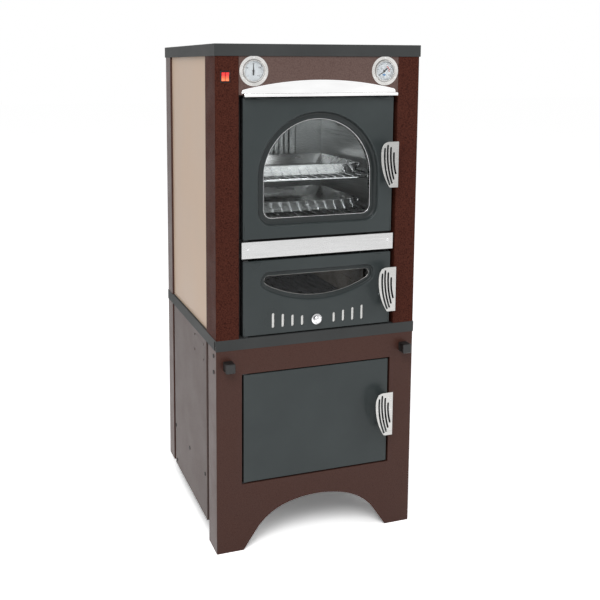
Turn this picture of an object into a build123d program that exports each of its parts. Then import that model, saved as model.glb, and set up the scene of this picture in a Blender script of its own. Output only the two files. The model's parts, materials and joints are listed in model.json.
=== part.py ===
from build123d import *
import os
from math import cos, radians, sin

# Wood-burning oven on a base cabinet, in millimetres.
# X runs left to right seen from the front, Y runs front to back, Z up from the floor.
# Pieces are drawn with the front panels at Y = 0, and moved to the row's origin when they are written.

# Body
body_width = 635.0
body_depth = 607.0
sheet = 2.0
bend_radius = 3.0
contact_gap = 0.3
running_gap = 0.05

# Levels from the floor upwards
base_height = 622.0
shelf_lip = 32.0
fire_door_lift = 4.0
fire_door_height = 222.0
strip_lift = 9.5
strip_height = 48.0
oven_door_lift = 5.5
oven_door_height = 406.0
header_lift = 8.0
header_height = 109.0
slab_height = 34.0
slab_overhang = 2.5
shelf_overhang = 1.0

shelf_top = base_height + shelf_lip
fire_door_bottom = shelf_top + fire_door_lift
strip_bottom = fire_door_bottom + fire_door_height + strip_lift
strip_top = strip_bottom + strip_height
oven_door_bottom = strip_top + oven_door_lift
oven_door_top = oven_door_bottom + oven_door_height
header_bottom = oven_door_top + header_lift
slab_bottom = header_bottom + header_height
total_height = slab_bottom + slab_height
shell_top = total_height - sheet

# Posts, side panels and back
post_face = 69.5
post_side = 105.0
rear_post_side = 67.0
rear_post_back = 45.0
edge_return = 12.0
lap_width = 28.0
panel_recess = 6.0
panel_return = 6.0
header_recess = 1.5
base_flange = 87.0
side_groove = 20.0
base_clearance = 52.0
back_return = 18.0
half_width = body_width / 2
inner_half = half_width - post_face
rear_post_front = body_depth - rear_post_side

# Base front panel
base_opening_width = 480.0
base_opening_bottom = 208.0
base_opening_height = 339.0
opening_fold = 14.0
arch_half_span = 234.6
arch_height = 141.4
ramp_width = 46.1
ramp_height = 66.7
crown_half = 95.0
crown_drop = 13.4
floor_level = 205.0
floor_flange = 25.0

# Doors
door_gap = 12.2
door_recess = 2.0
door_depth = 26.0
door_edge_radius = 3.0
base_door_gap = 6.0
base_door_depth = 20.0
hinge_inset = 8.5
hinge_setback = 10.0
base_hinge_inset = 5.0
base_hinge_setback = 7.0
pin_radius = 4.0
pin_length = 30.0
door_width = 2 * (inner_half - door_gap)
door_back = door_recess + door_depth
pin_y = door_recess + hinge_setback
base_pin_y = door_recess / 2 + base_hinge_setback

# Oven window, measured to the edge of the glass
window_radius = 169.0
window_border = 21.5
window_depth = 14.0
window_lift = 57.0
window_spring = 174.5
window_corner = 26.0
window_bottom = oven_door_bottom + window_lift
window_centre_z = oven_door_bottom + window_spring
glass_lap = 9.0
glass_thickness = 4.0
seal_thickness = 2.0

# Fire window
smile_half_width = 187.0
smile_top_lift = 187.0
smile_lift = 89.0
smile_top = fire_door_bottom + smile_top_lift
smile_bottom = fire_door_bottom + smile_lift
smile_radius = 337.0
smile_corner = 20.0
smile_border = 13.0
smile_depth = 9.0

# Air slots and their slider
slot_count = 4
slot_pitch = 30.6
slot_first = 51.0
slot_width = 8.4
slot_short = 30.0
slot_step = 5.0
slot_lift = 18.0
slot_bottom = fire_door_bottom + slot_lift
slider_travel = 11.0
slider_sheet = 1.5
knob_radius = 16.0
knob_length = 15.0
knob_shank = 4.0

# Handles
handle_width = 57.0
handle_height = 136.0
handle_reach = 38.0
handle_sheet = 3.0
handle_inset = 1.5
handle_taper = 28.0
handle_slot = 3.6

# Black front frame and the oven cavity
frame_setback = 36.0
frame_sheet = 3.0
cavity_side_room = 36.5
cavity_width = 2 * (inner_half - cavity_side_room)
cavity_height = 366.0
cavity_depth = 450.0
cavity_lift = 20.0
cavity_bottom = oven_door_bottom + cavity_lift
cavity_sheet = 1.5
cavity_corner = 14.0
cavity_flange = 14.0
gasket_height = 7.7
gasket_width = 12.0
smoke_gap = 32.0
jacket_sheet = 2.0
jacket_lift = 15.5
jacket_bottom = strip_bottom + jacket_lift
frame_back = frame_setback + frame_sheet
cavity_top = cavity_bottom + cavity_height
cavity_back = frame_back + cavity_depth
jacket_half = cavity_width / 2 + cavity_sheet + smoke_gap
jacket_top = cavity_top + cavity_sheet + smoke_gap
jacket_back = cavity_back + cavity_sheet + smoke_gap

# Flue
flue_radius = 60.0
flue_wall = 2.0
flue_length = 55.0
flue_drop = 39.0
flue_z = cavity_top - flue_drop
flue_clearance = 3.0
flue_bead = 4.0
flue_bead_start = 2.0

# Shelves, runners and trays
runner_sheet = 1.2
runner_rib = 11.0
rib_thickness = 2.0
rib_room = 6.5
shelf_wire = 3.0
wire_bend = 14.0
cross_wire = 2.0
cross_count = 14
wire_pitch = 29.5
shelf_gap = 3.0
shelf_front = 60.0
shelf_depth = 370.0
upper_shelf_lift = 141.0
lower_shelf_lift = 31.0
upper_shelf_z = cavity_bottom + upper_shelf_lift
lower_shelf_z = cavity_bottom + lower_shelf_lift
tray_half_bottom = 156.0
tray_flare = 23.0
tray_height = 32.0
tray_front = 112.0
tray_depth = 290.0
tray_sheet = 1.0

# Fan and lamp
fan_lift = 202.0
fan_z = cavity_bottom + fan_lift
fan_radius = 62.0
fan_depth = 22.0
blade_count = 10
shaft_radius = 4.0
guard_width = 200.0
guard_height = 190.0
guard_depth = 44.0
guard_sheet = 1.2
motor_radius = 38.0
motor_length = 48.0
lamp_radius = 22.0
lamp_y = 330.0
lamp_lift = 299.0
lamp_z = cavity_bottom + lamp_lift

# Firebox
fire_side_room = 58.0
fire_half_width = inner_half - fire_side_room
fire_lift = 10.0
fire_bottom = shelf_top + fire_lift
fire_depth = 440.0
fire_sheet = 3.0
fire_opening_lap = 4.0
fire_opening_lift = 14.0
fire_opening_drop = 12.0
fire_opening_half = fire_half_width - fire_opening_lap
fire_opening_bottom = fire_door_bottom + fire_opening_lift
fire_opening_top = fire_door_bottom + fire_door_height - fire_opening_drop
fire_port_front = 150.0
fire_port_back = 30.0
brick_thickness = 24.0
brick_course = 56.0
brick_joint = 2.0
grate_lift = 48.0
grate_z = fire_bottom + grate_lift
grate_thickness = 14.0
grate_slots = 9
ash_height = 30.0

# Hood and trim
hood_side_room = 8.0
hood_half = inner_half - hood_side_room
hood_radius = 1047.0
hood_rise = 38.5
hood_shoulder = 14.0
hood_sheet = 1.5
hood_lip = 18.0
hood_nose = 8.0
strip_side_room = 7.5
strip_half = inner_half - strip_side_room
strip_proud = 1.0

# Gauges and switch
gauge_inset = 44.0
gauge_lift = 67.5
gauge_offset = inner_half - gauge_inset
gauge_z = header_bottom + gauge_lift
gauge_flange_radius = 42.5
gauge_dial_radius = 29.5
flange_sheet = 1.2
flange_screw_ring = 37.8
flange_screw_hole = 1.6
gauge_case_depth = 24.0
needle_length = 21.0
needle_cold = 128.0
switch_inset = 29.3
switch_lift = 52.0
switch_offset = half_width - switch_inset
switch_z = header_bottom + switch_lift
switch_width = 28.0
switch_height = 32.0
rocker_width = 10.0
rocker_height = 24.0
rocker_depth = 9.0

# Pull bars in the base
bar_size = 25.0
bar_wall = 2.0
bar_inset = 34.5
bar_drop = 44.0
bar_offset = half_width - bar_inset
bar_z = base_height - bar_drop
bar_length = 500.0
cap_size = 28.0
cap_reach = 33.0
screw_rise = 24.3
guide_places = (28.0, 136.0, 243.0)
guide_width = 20.0
guide_sheet = 2.5

# Wheels
wheel_radius = 50.0
wheel_width = 30.0
wheel_setback = 87.0
wheel_inset = 65.5
wheel_y = body_depth - wheel_setback
wheel_offset = half_width - wheel_inset
axle_radius = 7.0
hub_radius = 31.0
bracket_sheet = 4.0
bracket_height = 34.0
bracket_lead = 36.0
bracket_room = 6.0

# Screws
screw_radius = 4.0
screw_head = 1.2
side_hole_radius = 3.5

front_reach = handle_reach + handle_sheet - door_recess / 2
rear_reach = body_depth + flue_length
front_y = (front_reach - rear_reach) / 2


def block(x0, x1, y0, y1, z0, z1):
    return Pos((x0 + x1) / 2, (y0 + y1) / 2, (z0 + z1) / 2) * Box(x1 - x0, y1 - y0, z1 - z0)


def front_prism(profile, y0, y1):
    """Profile drawn in X and Z, filling the depth from y0 to y1."""
    return Pos(0, y1, 0) * extrude(Plane.XZ * profile, amount=y1 - y0)


def up_prism(profile, z0, z1):
    """Profile drawn in X and Y, filling the height from z0 to z1."""
    return Pos(0, 0, z0) * extrude(profile, amount=z1 - z0)


def side_prism(profile, x0, x1):
    """Profile drawn in Y and Z, filling the width from x0 to x1."""
    return Pos(x0, 0, 0) * extrude(Plane.YZ * profile, amount=x1 - x0)


def rod_x(radius, x0, x1, y, z):
    return Pos((x0 + x1) / 2, y, z) * Rot(0, 90, 0) * Cylinder(radius, x1 - x0)


def rod_y(radius, y0, y1, x, z):
    return Pos(x, (y0 + y1) / 2, z) * Rot(90, 0, 0) * Cylinder(radius, y1 - y0)


def rod_z(radius, z0, z1, x, y):
    return Pos(x, y, (z0 + z1) / 2) * Cylinder(radius, z1 - z0)


def rounded(width, height, corner, x=0.0, z=0.0):
    return Pos(x, z) * RectangleRounded(width, height, corner)


def folded(points, thickness=sheet, radius=bend_radius):
    """Bent sheet section: the sheet lies to the left of the line, with round bends."""
    line = FilletPolyline(*points, radius=radius)
    return make_face(offset(line, amount=thickness, side=Side.LEFT).edges())


def both_sides(shape):
    return [shape, mirror(shape, about=Plane.YZ)]


def group(*shapes):
    """Separate solids that share one node."""
    solids = []
    for shape in shapes:
        items = shape if isinstance(shape, list) else [shape]
        for item in items:
            solids.extend(item.solids())
    return Compound(children=solids)


def save(shape, node):
    moved = shape.moved(Location((0, front_y, 0)))
    export_step(moved, "parts/" + node + ".step")


def hole_rows(radius, places, x0, x1):
    return [rod_x(radius, x0, x1, y, z) for y, z in places]


# Base cabinet

def bar_screw_places():
    return [(y, bar_z + rise) for y in guide_places for rise in (screw_rise, -screw_rise)]


floor_screw_z = floor_level - floor_flange / 2
axle_screw_place = (wheel_y - 23, base_clearance + 18)


def floor_screw_places():
    first = base_flange + side_groove + 21.5
    last = rear_post_front - side_groove - 12
    return [(first, floor_screw_z), ((first + last) / 2, floor_screw_z), (last, floor_screw_z)]


def arch_profile():
    shoulder = arch_half_span - ramp_width
    crown_z = arch_height - crown_drop
    with BuildSketch() as sketch:
        with BuildLine():
            Line((-arch_half_span, -10), (-arch_half_span, 0))
            Line((-arch_half_span, 0), (-shoulder, ramp_height))
            crown = ThreePointArc((-crown_half, crown_z), (0, arch_height), (crown_half, crown_z))
            right = TangentArc((crown_half, crown_z), (shoulder, ramp_height), tangent=crown % 1)
            mirror(right, about=Plane.YZ)
            Line((shoulder, ramp_height), (arch_half_span, 0))
            Line((arch_half_span, 0), (arch_half_span, -10))
            Line((arch_half_span, -10), (-arch_half_span, -10))
        make_face()
    return sketch.sketch


def base_front_panel():
    edge = half_width - edge_return
    section = folded([(-edge, base_flange), (-half_width, base_flange), (-half_width, 0),
                      (half_width, 0), (half_width, base_flange), (edge, base_flange)])
    panel = up_prism(section, 0, base_height)
    fold = block(-half_width + sheet, half_width - sheet, sheet, 20, base_height - sheet, base_height)
    opening_z = base_opening_bottom + base_opening_height / 2
    opening = rounded(base_opening_width, base_opening_height, 1.5, 0, opening_z)
    outer = rounded(base_opening_width + 2 * sheet, base_opening_height + 2 * sheet, 3.5, 0, opening_z)
    panel = panel + fold + front_prism(outer, 0, opening_fold)
    panel = panel - front_prism(opening, -1, opening_fold + 1)
    panel = panel - front_prism(arch_profile(), -1, 10)
    bar_hole = cap_size - 2
    for x in (-bar_offset, bar_offset):
        panel = panel - front_prism(rounded(bar_hole, bar_hole, 2, x, bar_z), -1, 5)
    return cut_side_holes(panel, [p for p in bar_screw_places() if p[0] < base_flange], screw_radius)


def cut_side_holes(shape, places, radius):
    for hole in hole_rows(radius, places, -half_width - 5, -half_width + 16):
        shape = shape - hole - mirror(hole, about=Plane.YZ)
    return shape


def base_side_panel():
    front = base_flange + side_groove
    back = rear_post_front - side_groove
    inner = -half_width + edge_return
    section = folded([(inner, back + lap_width + side_groove), (inner, back), (-half_width, back),
                      (-half_width, front), (inner, front), (inner, front - lap_width - side_groove)])
    panel = up_prism(section, base_clearance, base_height)
    guide_holes = [p for p in bar_screw_places() if p[0] > base_flange]
    panel = cut_side_holes(panel, guide_holes, side_hole_radius)
    return cut_side_holes(panel, floor_screw_places() + [axle_screw_place], screw_radius)


def rear_post(bottom, top, inner_return):
    edge = -half_width + inner_return
    section = folded([(-half_width + rear_post_back, body_depth), (-half_width, body_depth),
                      (-half_width, rear_post_front), (edge, rear_post_front)])
    return up_prism(section, bottom, top)


def rear_posts():
    lower = rear_post(base_clearance, base_height, edge_return)
    upper = rear_post(shelf_top, shell_top, panel_recess)
    return group(both_sides(lower), both_sides(upper))


def base_back_panel():
    x = half_width - sheet - 1
    y = body_depth - sheet
    section = folded([(x, y - back_return), (x, y), (-x, y), (-x, y - back_return)])
    return up_prism(section, base_clearance, base_height)


def base_floor():
    lap = half_width - edge_return - sheet - contact_gap
    wide = half_width - sheet
    front = opening_fold + 2
    back = body_depth - 2 * sheet - 1
    middle0 = base_flange + side_groove + sheet + 1
    middle1 = rear_post_front - side_groove - sheet - 1
    outer = block(-lap, lap, front, back, floor_level - floor_flange, floor_level)
    outer = outer + block(-wide, wide, middle0, middle1, floor_level - floor_flange, floor_level)
    inner = block(-lap + sheet, lap - sheet, front + sheet, back - sheet, 0, floor_level - sheet)
    inner = inner + block(-wide + sheet, wide - sheet, middle0 + sheet, middle1 - sheet,
                          0, floor_level - sheet)
    return cut_side_holes(outer - inner, floor_screw_places(), screw_radius)


def mid_shelf():
    side = half_width + shelf_overhang
    front = -shelf_overhang
    back = body_depth + shelf_overhang
    notch = 18.0
    tray = block(-side, side, front, back, base_height, shelf_top)
    tray = fillet(tray.edges().filter_by(Axis.X).group_by(Axis.Y)[0].group_by(Axis.Z)[-1], 2)
    tray = tray - block(-side + sheet, side - sheet, front + sheet, back - sheet, 0, shelf_top - sheet)
    corner = block(-side - 1, -side + 8, front + 3 * sheet, front + notch, 0, shelf_top - 2 * sheet)
    tray = tray - corner - mirror(corner, about=Plane.YZ)
    # Two cross ribs carry the shelf on the base's folds
    rib = block(-side + sheet, side - sheet, 0, 14, base_height, shelf_top - sheet)
    tray = tray + Pos(0, base_flange / 2, 0) * rib + Pos(0, body_depth - 60, 0) * rib
    return tray


def pull_bar(x):
    outer = rounded(bar_size, bar_size, 3, x, bar_z)
    inner = rounded(bar_size - 2 * bar_wall, bar_size - 2 * bar_wall, 1.5, x, bar_z)
    tube = front_prism(outer, -cap_reach + 3, bar_length - cap_reach)
    tube = tube - front_prism(inner, -cap_reach, bar_length)
    cap = front_prism(rounded(cap_size, cap_size, 3, x, bar_z), -cap_reach, -1)
    cap = chamfer(cap.edges().filter_by(Plane.XZ).group_by(Axis.Y)[0], 2)
    cap = cap - front_prism(outer, -cap_reach + 3, 0)
    return group(tube, cap)


def pull_bar_guides():
    """Square sleeves round each bar, with ears that reach the screws in the side panels."""
    guides = []
    hole = bar_size + 2 * contact_gap
    outer = hole + 2 * guide_sheet
    wall = -half_width + sheet
    lap_wall = -half_width + edge_return + sheet
    for y in guide_places:
        on_lap = y < base_flange + side_groove
        side = lap_wall if on_lap and y > base_flange - lap_width else wall
        x = -bar_offset
        ring = front_prism(rounded(outer, outer, 4, x, bar_z), y - guide_width / 2, y + guide_width / 2)
        ear = block(side, side + guide_sheet, y - guide_width / 2, y + guide_width / 2,
                    bar_z - screw_rise - 9, bar_z + screw_rise + 9)
        web = block(side, x, y - guide_width / 2, y + guide_width / 2, bar_z - 6, bar_z + 6)
        guide = ring + ear + web
        guide = guide - front_prism(rounded(hole, hole, 3, x, bar_z), y - guide_width, y + guide_width)
        for rise in (screw_rise, -screw_rise):
            guide = guide - rod_x(side_hole_radius, side - 1, side + guide_sheet + 1, y, bar_z + rise)
        guides.extend(both_sides(guide))
    return group(guides)


def wheel(x):
    tyre = rod_x(wheel_radius, x - wheel_width / 2, x + wheel_width / 2, wheel_y, wheel_radius)
    tyre = fillet(tyre.edges().filter_by(GeomType.CIRCLE), 7)
    tyre = tyre - rod_x(hub_radius, x - wheel_width, x + wheel_width, wheel_y, wheel_radius)
    hub = rod_x(hub_radius, x - wheel_width / 2 + 2, x + wheel_width / 2 - 2, wheel_y, wheel_radius)
    groove = rod_x(hub_radius - 5, 0, 8, wheel_y, wheel_radius) - rod_x(14, 0, 8, wheel_y, wheel_radius)
    hub = hub - Pos(x - wheel_width / 2, 0, 0) * groove - Pos(x + wheel_width / 2 - 8, 0, 0) * groove
    bore = axle_radius + running_gap
    hub = hub - rod_x(bore, x - wheel_width, x + wheel_width, wheel_y, wheel_radius)
    return group(tyre, hub)


def bracket_x():
    return half_width - sheet


def axle_brackets():
    """Folded angles: one leg is screwed to the side panel, the other hangs down to the axle."""
    outer = -bracket_x()
    inner = -wheel_offset - wheel_width / 2 - bracket_room - bracket_sheet
    top = base_clearance + bracket_height
    y0 = wheel_y - bracket_lead
    y1 = rear_post_front - side_groove - sheet - 1
    leg = block(outer, outer + bracket_sheet, y0, y1 - 1, base_clearance + 2, top)
    roof = block(outer, inner + bracket_sheet, y0, y1 - 1, top - bracket_sheet, top)
    with BuildSketch() as plate:
        with BuildLine():
            Polyline((y0, top), (wheel_y + 22, top), (wheel_y + 16, wheel_radius))
            ThreePointArc((wheel_y + 16, wheel_radius), (wheel_y, wheel_radius - 16),
                          (wheel_y - 16, wheel_radius))
            Line((wheel_y - 16, wheel_radius), (y0, top))
        make_face()
    hanger = side_prism(plate.sketch, inner, inner + bracket_sheet)
    bracket = leg + roof + hanger
    bracket = bracket - rod_x(axle_radius, inner - 1, inner + bracket_sheet + 1, wheel_y, wheel_radius)
    hole = rod_x(screw_radius, outer - 1, outer + bracket_sheet + 1, *axle_screw_place)
    return group(both_sides(bracket - hole))


def wheel_axle():
    end = wheel_offset + wheel_width / 2 + 6 + bracket_sheet + 3
    axle = rod_x(axle_radius, -end, end, wheel_y, wheel_radius)
    inner = wheel_offset - wheel_width / 2 - 0.5
    outer = wheel_offset + wheel_width / 2 + 0.5
    collars = rod_x(axle_radius + 4, inner - 7, inner, wheel_y, wheel_radius)
    collars = collars + rod_x(axle_radius + 4, outer, outer + 5.5, wheel_y, wheel_radius)
    return axle + collars + mirror(collars, about=Plane.YZ)


# Doors

def door_pan(half, z0, z1, depth, front):
    """Shallow pressed tray, open at the back, with round front edges."""
    centre = (z0 + z1) / 2
    pan = front_prism(rounded(2 * half, z1 - z0, 2, 0, centre), front, front + depth)
    pan = fillet(pan.faces().sort_by(Axis.Y)[0].edges(), door_edge_radius / 2)
    inner = rounded(2 * (half - sheet), z1 - z0 - 2 * sheet, 1.5, 0, centre)
    return pan - front_prism(inner, front + sheet, front + depth + 1)


def pin_holes(shape, x, z0, z1, y):
    bore = pin_radius + running_gap
    shape = shape - rod_z(bore, z0 - 5, z0 + pin_length, x, y)
    return shape - rod_z(bore, z1 - pin_length, z1 + 5, x, y)


def hinge_bush(x, y, z0, z1, inset, setback):
    """Bored blocks welded in the pan's hinge corners."""
    wall = sheet / 2
    bush = block(x - inset + wall, x + pin_radius + 5, y - setback + wall, y + pin_radius + 4,
                 z0 + wall, z0 + pin_length)
    return bush + Pos(0, 0, z1 - z0 - pin_length - wall) * bush


def window_profile(grow):
    radius = window_radius + grow
    bottom = window_bottom - grow
    with BuildSketch() as sketch:
        with BuildLine():
            sill = Line((-radius, bottom), (radius, bottom))
            Line(sill @ 1, (radius, window_centre_z))
            top = (0, window_centre_z + radius)
            arc = ThreePointArc((radius, window_centre_z), top, (-radius, window_centre_z))
            Line(arc @ 1, sill @ 0)
        make_face()
        fillet(sketch.vertices().sort_by(Axis.Y)[:2], window_corner + grow / 2)
    return sketch.sketch


def smile_profile(grow):
    """Flat top, short round ends and a deep round bottom."""
    half = smile_half_width + grow
    top = smile_top + grow
    radius = smile_radius + grow
    low = smile_bottom - grow
    end_z = low + radius - (radius ** 2 - half ** 2) ** 0.5
    with BuildSketch() as sketch:
        with BuildLine():
            head = Line((half, top), (-half, top))
            Line(head @ 1, (-half, end_z))
            bow = ThreePointArc((-half, end_z), (0, low), (half, end_z))
            Line(bow @ 1, head @ 0)
        make_face()
        corners = sketch.vertices().sort_by(Axis.Y)
        fillet(corners[2:], smile_corner + grow)
        fillet(sketch.vertices().sort_by(Axis.Y)[:2], 10 + grow)
    return sketch.sketch


def pressed_window(pan, profile, grow, depth):
    """Presses a sloping recess into the pan and opens its floor."""
    front = door_recess
    floor_grow = 4
    outer_front = (Pos(0, front, 0) * (Plane.XZ * profile(grow + sheet))).faces()[0]
    outer_floor = (Pos(0, front + depth + sheet, 0) * (Plane.XZ * profile(floor_grow + sheet))).faces()[0]
    inner_front = (Pos(0, front - 0.01, 0) * (Plane.XZ * profile(grow))).faces()[0]
    inner_floor = (Pos(0, front + depth, 0) * (Plane.XZ * profile(floor_grow))).faces()[0]
    ring_outer = loft([outer_front, outer_floor], ruled=True)
    ring_inner = loft([inner_front, inner_floor], ruled=True)
    pan = (pan + ring_outer) - ring_inner
    return pan - front_prism(profile(0), front, front + depth + 10)


def oven_door_panel():
    half = door_width / 2
    pan = door_pan(half, oven_door_bottom, oven_door_top, door_depth, door_recess)
    pan = pressed_window(pan, window_profile, window_border, window_depth)
    return finish_hinge_side(pan, oven_door_bottom, oven_door_top)


def finish_hinge_side(pan, z0, z1):
    x = hinge_x()
    pan = pan + hinge_bush(x, pin_y, z0, z1, hinge_inset, hinge_setback)
    return pin_holes(pan, x, z0, z1, pin_y)


def hinge_x():
    return -door_width / 2 + hinge_inset


def base_hinge_x():
    return -base_opening_width / 2 + base_door_gap + base_hinge_inset


def glass_front(depth):
    return door_recess + depth + sheet + seal_thickness


def window_glass(profile, depth):
    front = glass_front(depth)
    return front_prism(profile(glass_lap), front, front + glass_thickness)


def door_gasket(profile, depth, opening_half, opening_z0, opening_z1):
    """Flat seal in front of the glass, and the rope seal on the door's back."""
    seal_front = door_recess + depth + sheet
    seal = front_prism(profile(glass_lap), seal_front, seal_front + seal_thickness)
    seal = seal - front_prism(profile(0.5), seal_front - 1, seal_front + seal_thickness + 1)
    inner_w = 2 * opening_half + 10
    inner_h = opening_z1 - opening_z0 + 10
    centre = (opening_z0 + opening_z1) / 2
    back = door_back
    outer = rounded(inner_w + 2 * gasket_width, inner_h + 2 * gasket_width, 16, 0, centre)
    rope = front_prism(outer, back, back + gasket_height)
    rope = rope - front_prism(rounded(inner_w, inner_h, 6, 0, centre), back - 1, back + gasket_height + 1)
    rope = fillet(rope.faces().sort_by(Axis.Y)[-1].edges(), 3)
    return group(seal, rope)


def door_liner(profile, depth, z0, z1):
    """Inner plate of the door, dished forward round the window so that it clamps the glass."""
    half = door_width / 2 - sheet - contact_gap
    low = z0 + sheet + contact_gap
    high = z1 - sheet - contact_gap
    plate = front_prism(rounded(2 * half, high - low, 1.5, 0, (low + high) / 2), door_back - sheet, door_back)
    glass_back = glass_front(depth) + glass_thickness
    if glass_back < door_back - sheet:
        collar = front_prism(profile(glass_lap), glass_back, door_back - sheet)
        plate = plate + collar
    plate = plate - front_prism(profile(-3), glass_back - 5, door_back + 5)
    return plate


def oven_door_liner():
    liner = door_liner(window_profile, window_depth, oven_door_bottom, oven_door_top)
    return clear_hinge_corner(liner, oven_door_bottom, oven_door_top)


def clear_hinge_corner(liner, z0, z1):
    x = hinge_x()
    bush_back = pin_y + 8
    if bush_back < door_back - sheet:
        return liner
    cut = block(x - 12, x + 10, 0, bush_back + contact_gap, z0 - 5, z0 + pin_length + 1)
    return liner - cut - Pos(0, 0, z1 - z0 - pin_length + 4) * cut


def fire_door_liner():
    liner = door_liner(smile_profile, smile_depth, fire_door_bottom, fire_door_bottom + fire_door_height)
    slot_top = slot_bottom + slot_short + slot_step * slot_count + 12
    reach = slot_first + slot_pitch * slot_count + 6
    window = rounded(2 * reach, slot_top - slot_bottom + 8, 6, 0, (slot_top + slot_bottom) / 2 - 4)
    liner = liner - front_prism(window, 0, door_back + 5)
    return clear_hinge_corner(liner, fire_door_bottom, fire_door_bottom + fire_door_height)


def slot_places():
    """Centre and height of each air slot, the outer ones the longest."""
    places = []
    for number in range(slot_count):
        x = slot_first + slot_pitch * number
        height = slot_short + slot_step * number
        places.append((x, height))
        places.append((-x, height))
    return places


def slot_cuts(offset_x, y0, y1, grow=0.0):
    cuts = []
    for x, height in slot_places():
        tall = height + 2 * grow
        slot = SlotOverall(tall, slot_width + 2 * grow, rotation=90)
        cuts.append(front_prism(Pos(x + offset_x, slot_bottom + height / 2) * slot, y0, y1))
    return cuts


def knob_z():
    return slot_bottom + slot_short / 2


def fire_door_panel():
    half = door_width / 2
    top = fire_door_bottom + fire_door_height
    pan = door_pan(half, fire_door_bottom, top, door_depth, door_recess)
    pan = pressed_window(pan, smile_profile, smile_border, smile_depth)
    for cut in slot_cuts(0, door_recess - 1, door_recess + sheet + 1):
        pan = pan - cut
    slot = SlotOverall(slider_travel + 2 * knob_shank + 1, 2 * knob_shank + 1)
    shift = -slider_travel / 2
    pan = pan - front_prism(Pos(shift + slider_travel / 2, knob_z()) * slot, 0, door_recess + sheet + 1)
    return finish_hinge_side(pan, fire_door_bottom, top)


def slider_half():
    return slot_first + slot_pitch * slot_count


def air_slider():
    """Slotted plate behind the fire door's air slots, with the stud that carries the knob."""
    front = door_recess + sheet + contact_gap
    tall = slot_short + slot_step * (slot_count - 1) + 10
    centre = slot_bottom + tall / 2 - 5
    plate = front_prism(rounded(2 * slider_half(), tall, 3, 0, centre), front, front + slider_sheet)
    for cut in slot_cuts(-slider_travel, 0, front + 5):
        plate = plate - cut
    x = -slider_travel / 2
    stud = rod_y(knob_shank, door_recess - 4, front + slider_sheet, x, knob_z())
    return plate + stud


def slider_rails():
    """Folded rails that hold the slider against the door."""
    front = door_recess + sheet
    back = front + slider_sheet + 2 * contact_gap
    half = slider_half() - 30
    tall = slot_short + slot_step * (slot_count - 1) + 10
    low = slot_bottom - 5 - contact_gap
    high = low + tall + 2 * contact_gap
    rails = []
    for edge, sign in ((low, 1), (high, -1)):
        z0, z1 = sorted((edge, edge - 4 * sign))
        rail = block(-half, half, front, back, z0, z1)
        z2, z3 = sorted((edge - 4 * sign, edge + 3 * sign))
        rail = rail + block(-half, half, back, back + 1.2, z2, z3)
        rails.append(rail)
    return group(rails)


def air_knob():
    """Turned knob: a flat washer, a waist and a domed head, as one revolve."""
    front = door_recess - contact_gap
    x = -slider_travel / 2
    with BuildSketch() as section:
        with BuildLine():
            Polyline((0, 0), (knob_radius, 0), (knob_radius, 1.6), (9, 3.2), (8, 6))
            ThreePointArc((8, 6), (9.5, 9.5), (knob_radius - 4, knob_length - 3.5))
            ThreePointArc((knob_radius - 4, knob_length - 3.5), (8.6, knob_length - 1), (3, knob_length))
            Polyline((3, knob_length), (0, knob_length), (0, 0))
        make_face()
    turned = revolve(Plane.XZ * section.sketch, Axis.Z)
    knob = Pos(x, front, knob_z()) * Rot(90, 0, 0) * turned
    return knob - rod_y(knob_shank, door_recess - 4, front + 1, x, knob_z())


def base_door_panel():
    half = base_opening_width / 2 - base_door_gap
    low = base_opening_bottom + 4
    high = base_opening_bottom + base_opening_height - 4
    pan = door_pan(half, low, high, base_door_depth, door_recess / 2)
    rim = block(-half + sheet, half - sheet, door_recess / 2 + base_door_depth - sheet,
                door_recess / 2 + base_door_depth, low + sheet, high - sheet)
    hole = rounded(2 * half - 36, high - low - 36, 8, 0, (low + high) / 2)
    rim = rim - front_prism(hole, 0, base_door_depth + 5)
    pan = pan + rim
    x = base_hinge_x()
    y = base_pin_y
    pan = pan + hinge_bush(x, y, low, high, base_hinge_inset, base_hinge_setback)
    return pin_holes(pan, x, low, high, y)


def handle_face():
    """D outline: straight right edge, round top corner and a curved taper at the bottom left."""
    half = handle_height / 2
    with BuildSketch() as sketch:
        with BuildLine():
            right = Line((0, -half), (0, half))
            top = Line(right @ 1, (-handle_width + 22, half))
            bulge = ThreePointArc(top @ 1, (-handle_width + 5.5, half - 12), (-handle_width, half - 50))
            taper = ThreePointArc(bulge @ 1, (-handle_width + 6.5, -half + 36),
                                  (-handle_taper - 3, -half + 5))
            foot = ThreePointArc(taper @ 1, (-handle_taper, -half + 1.2), (-handle_taper + 4, -half))
            Line(foot @ 1, right @ 0)
        make_face()
    return sketch.sketch


def handle_slots():
    """Four narrow curved slots, long at the left and short at the right."""
    rows = [((-45.5, 42), (-43, -6), (-24.0, -54)), ((-34.0, 58), (-35.5, 8), (-19.5, -40)),
            ((-25.0, 51), (-27.0, 12), (-14.5, -28)), ((-16.0, 33), (-16.5, 8), (-8.5, -14))]
    slots = []
    for first, middle, last in rows:
        arc = ThreePointArc(first, middle, last)
        slots.append(SlotArc(arc, handle_slot))
    return slots


def door_handle(right_x, centre_z, door_face):
    """Plate handle bent back to the door along its straight edge, with a foot that is screwed on."""
    x = right_x - handle_inset
    plate_back = door_face - handle_reach
    face = handle_face()
    for slot in handle_slots():
        face = face - slot
    plate = front_prism(Pos(x, centre_z) * face, plate_back - handle_sheet, plate_back)
    leg = block(x - handle_sheet, x, plate_back - handle_sheet, door_face,
                centre_z - handle_height / 2, centre_z + handle_height / 2)
    foot = block(x - 20, x, door_face - handle_sheet, door_face,
                 centre_z - handle_height / 2, centre_z + handle_height / 2)
    handle = plate + leg + foot
    corner = handle.edges().filter_by(Axis.Z).group_by(Axis.Y)[0].sort_by(Axis.X)[-1]
    return fillet(corner, 2.5)


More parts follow.
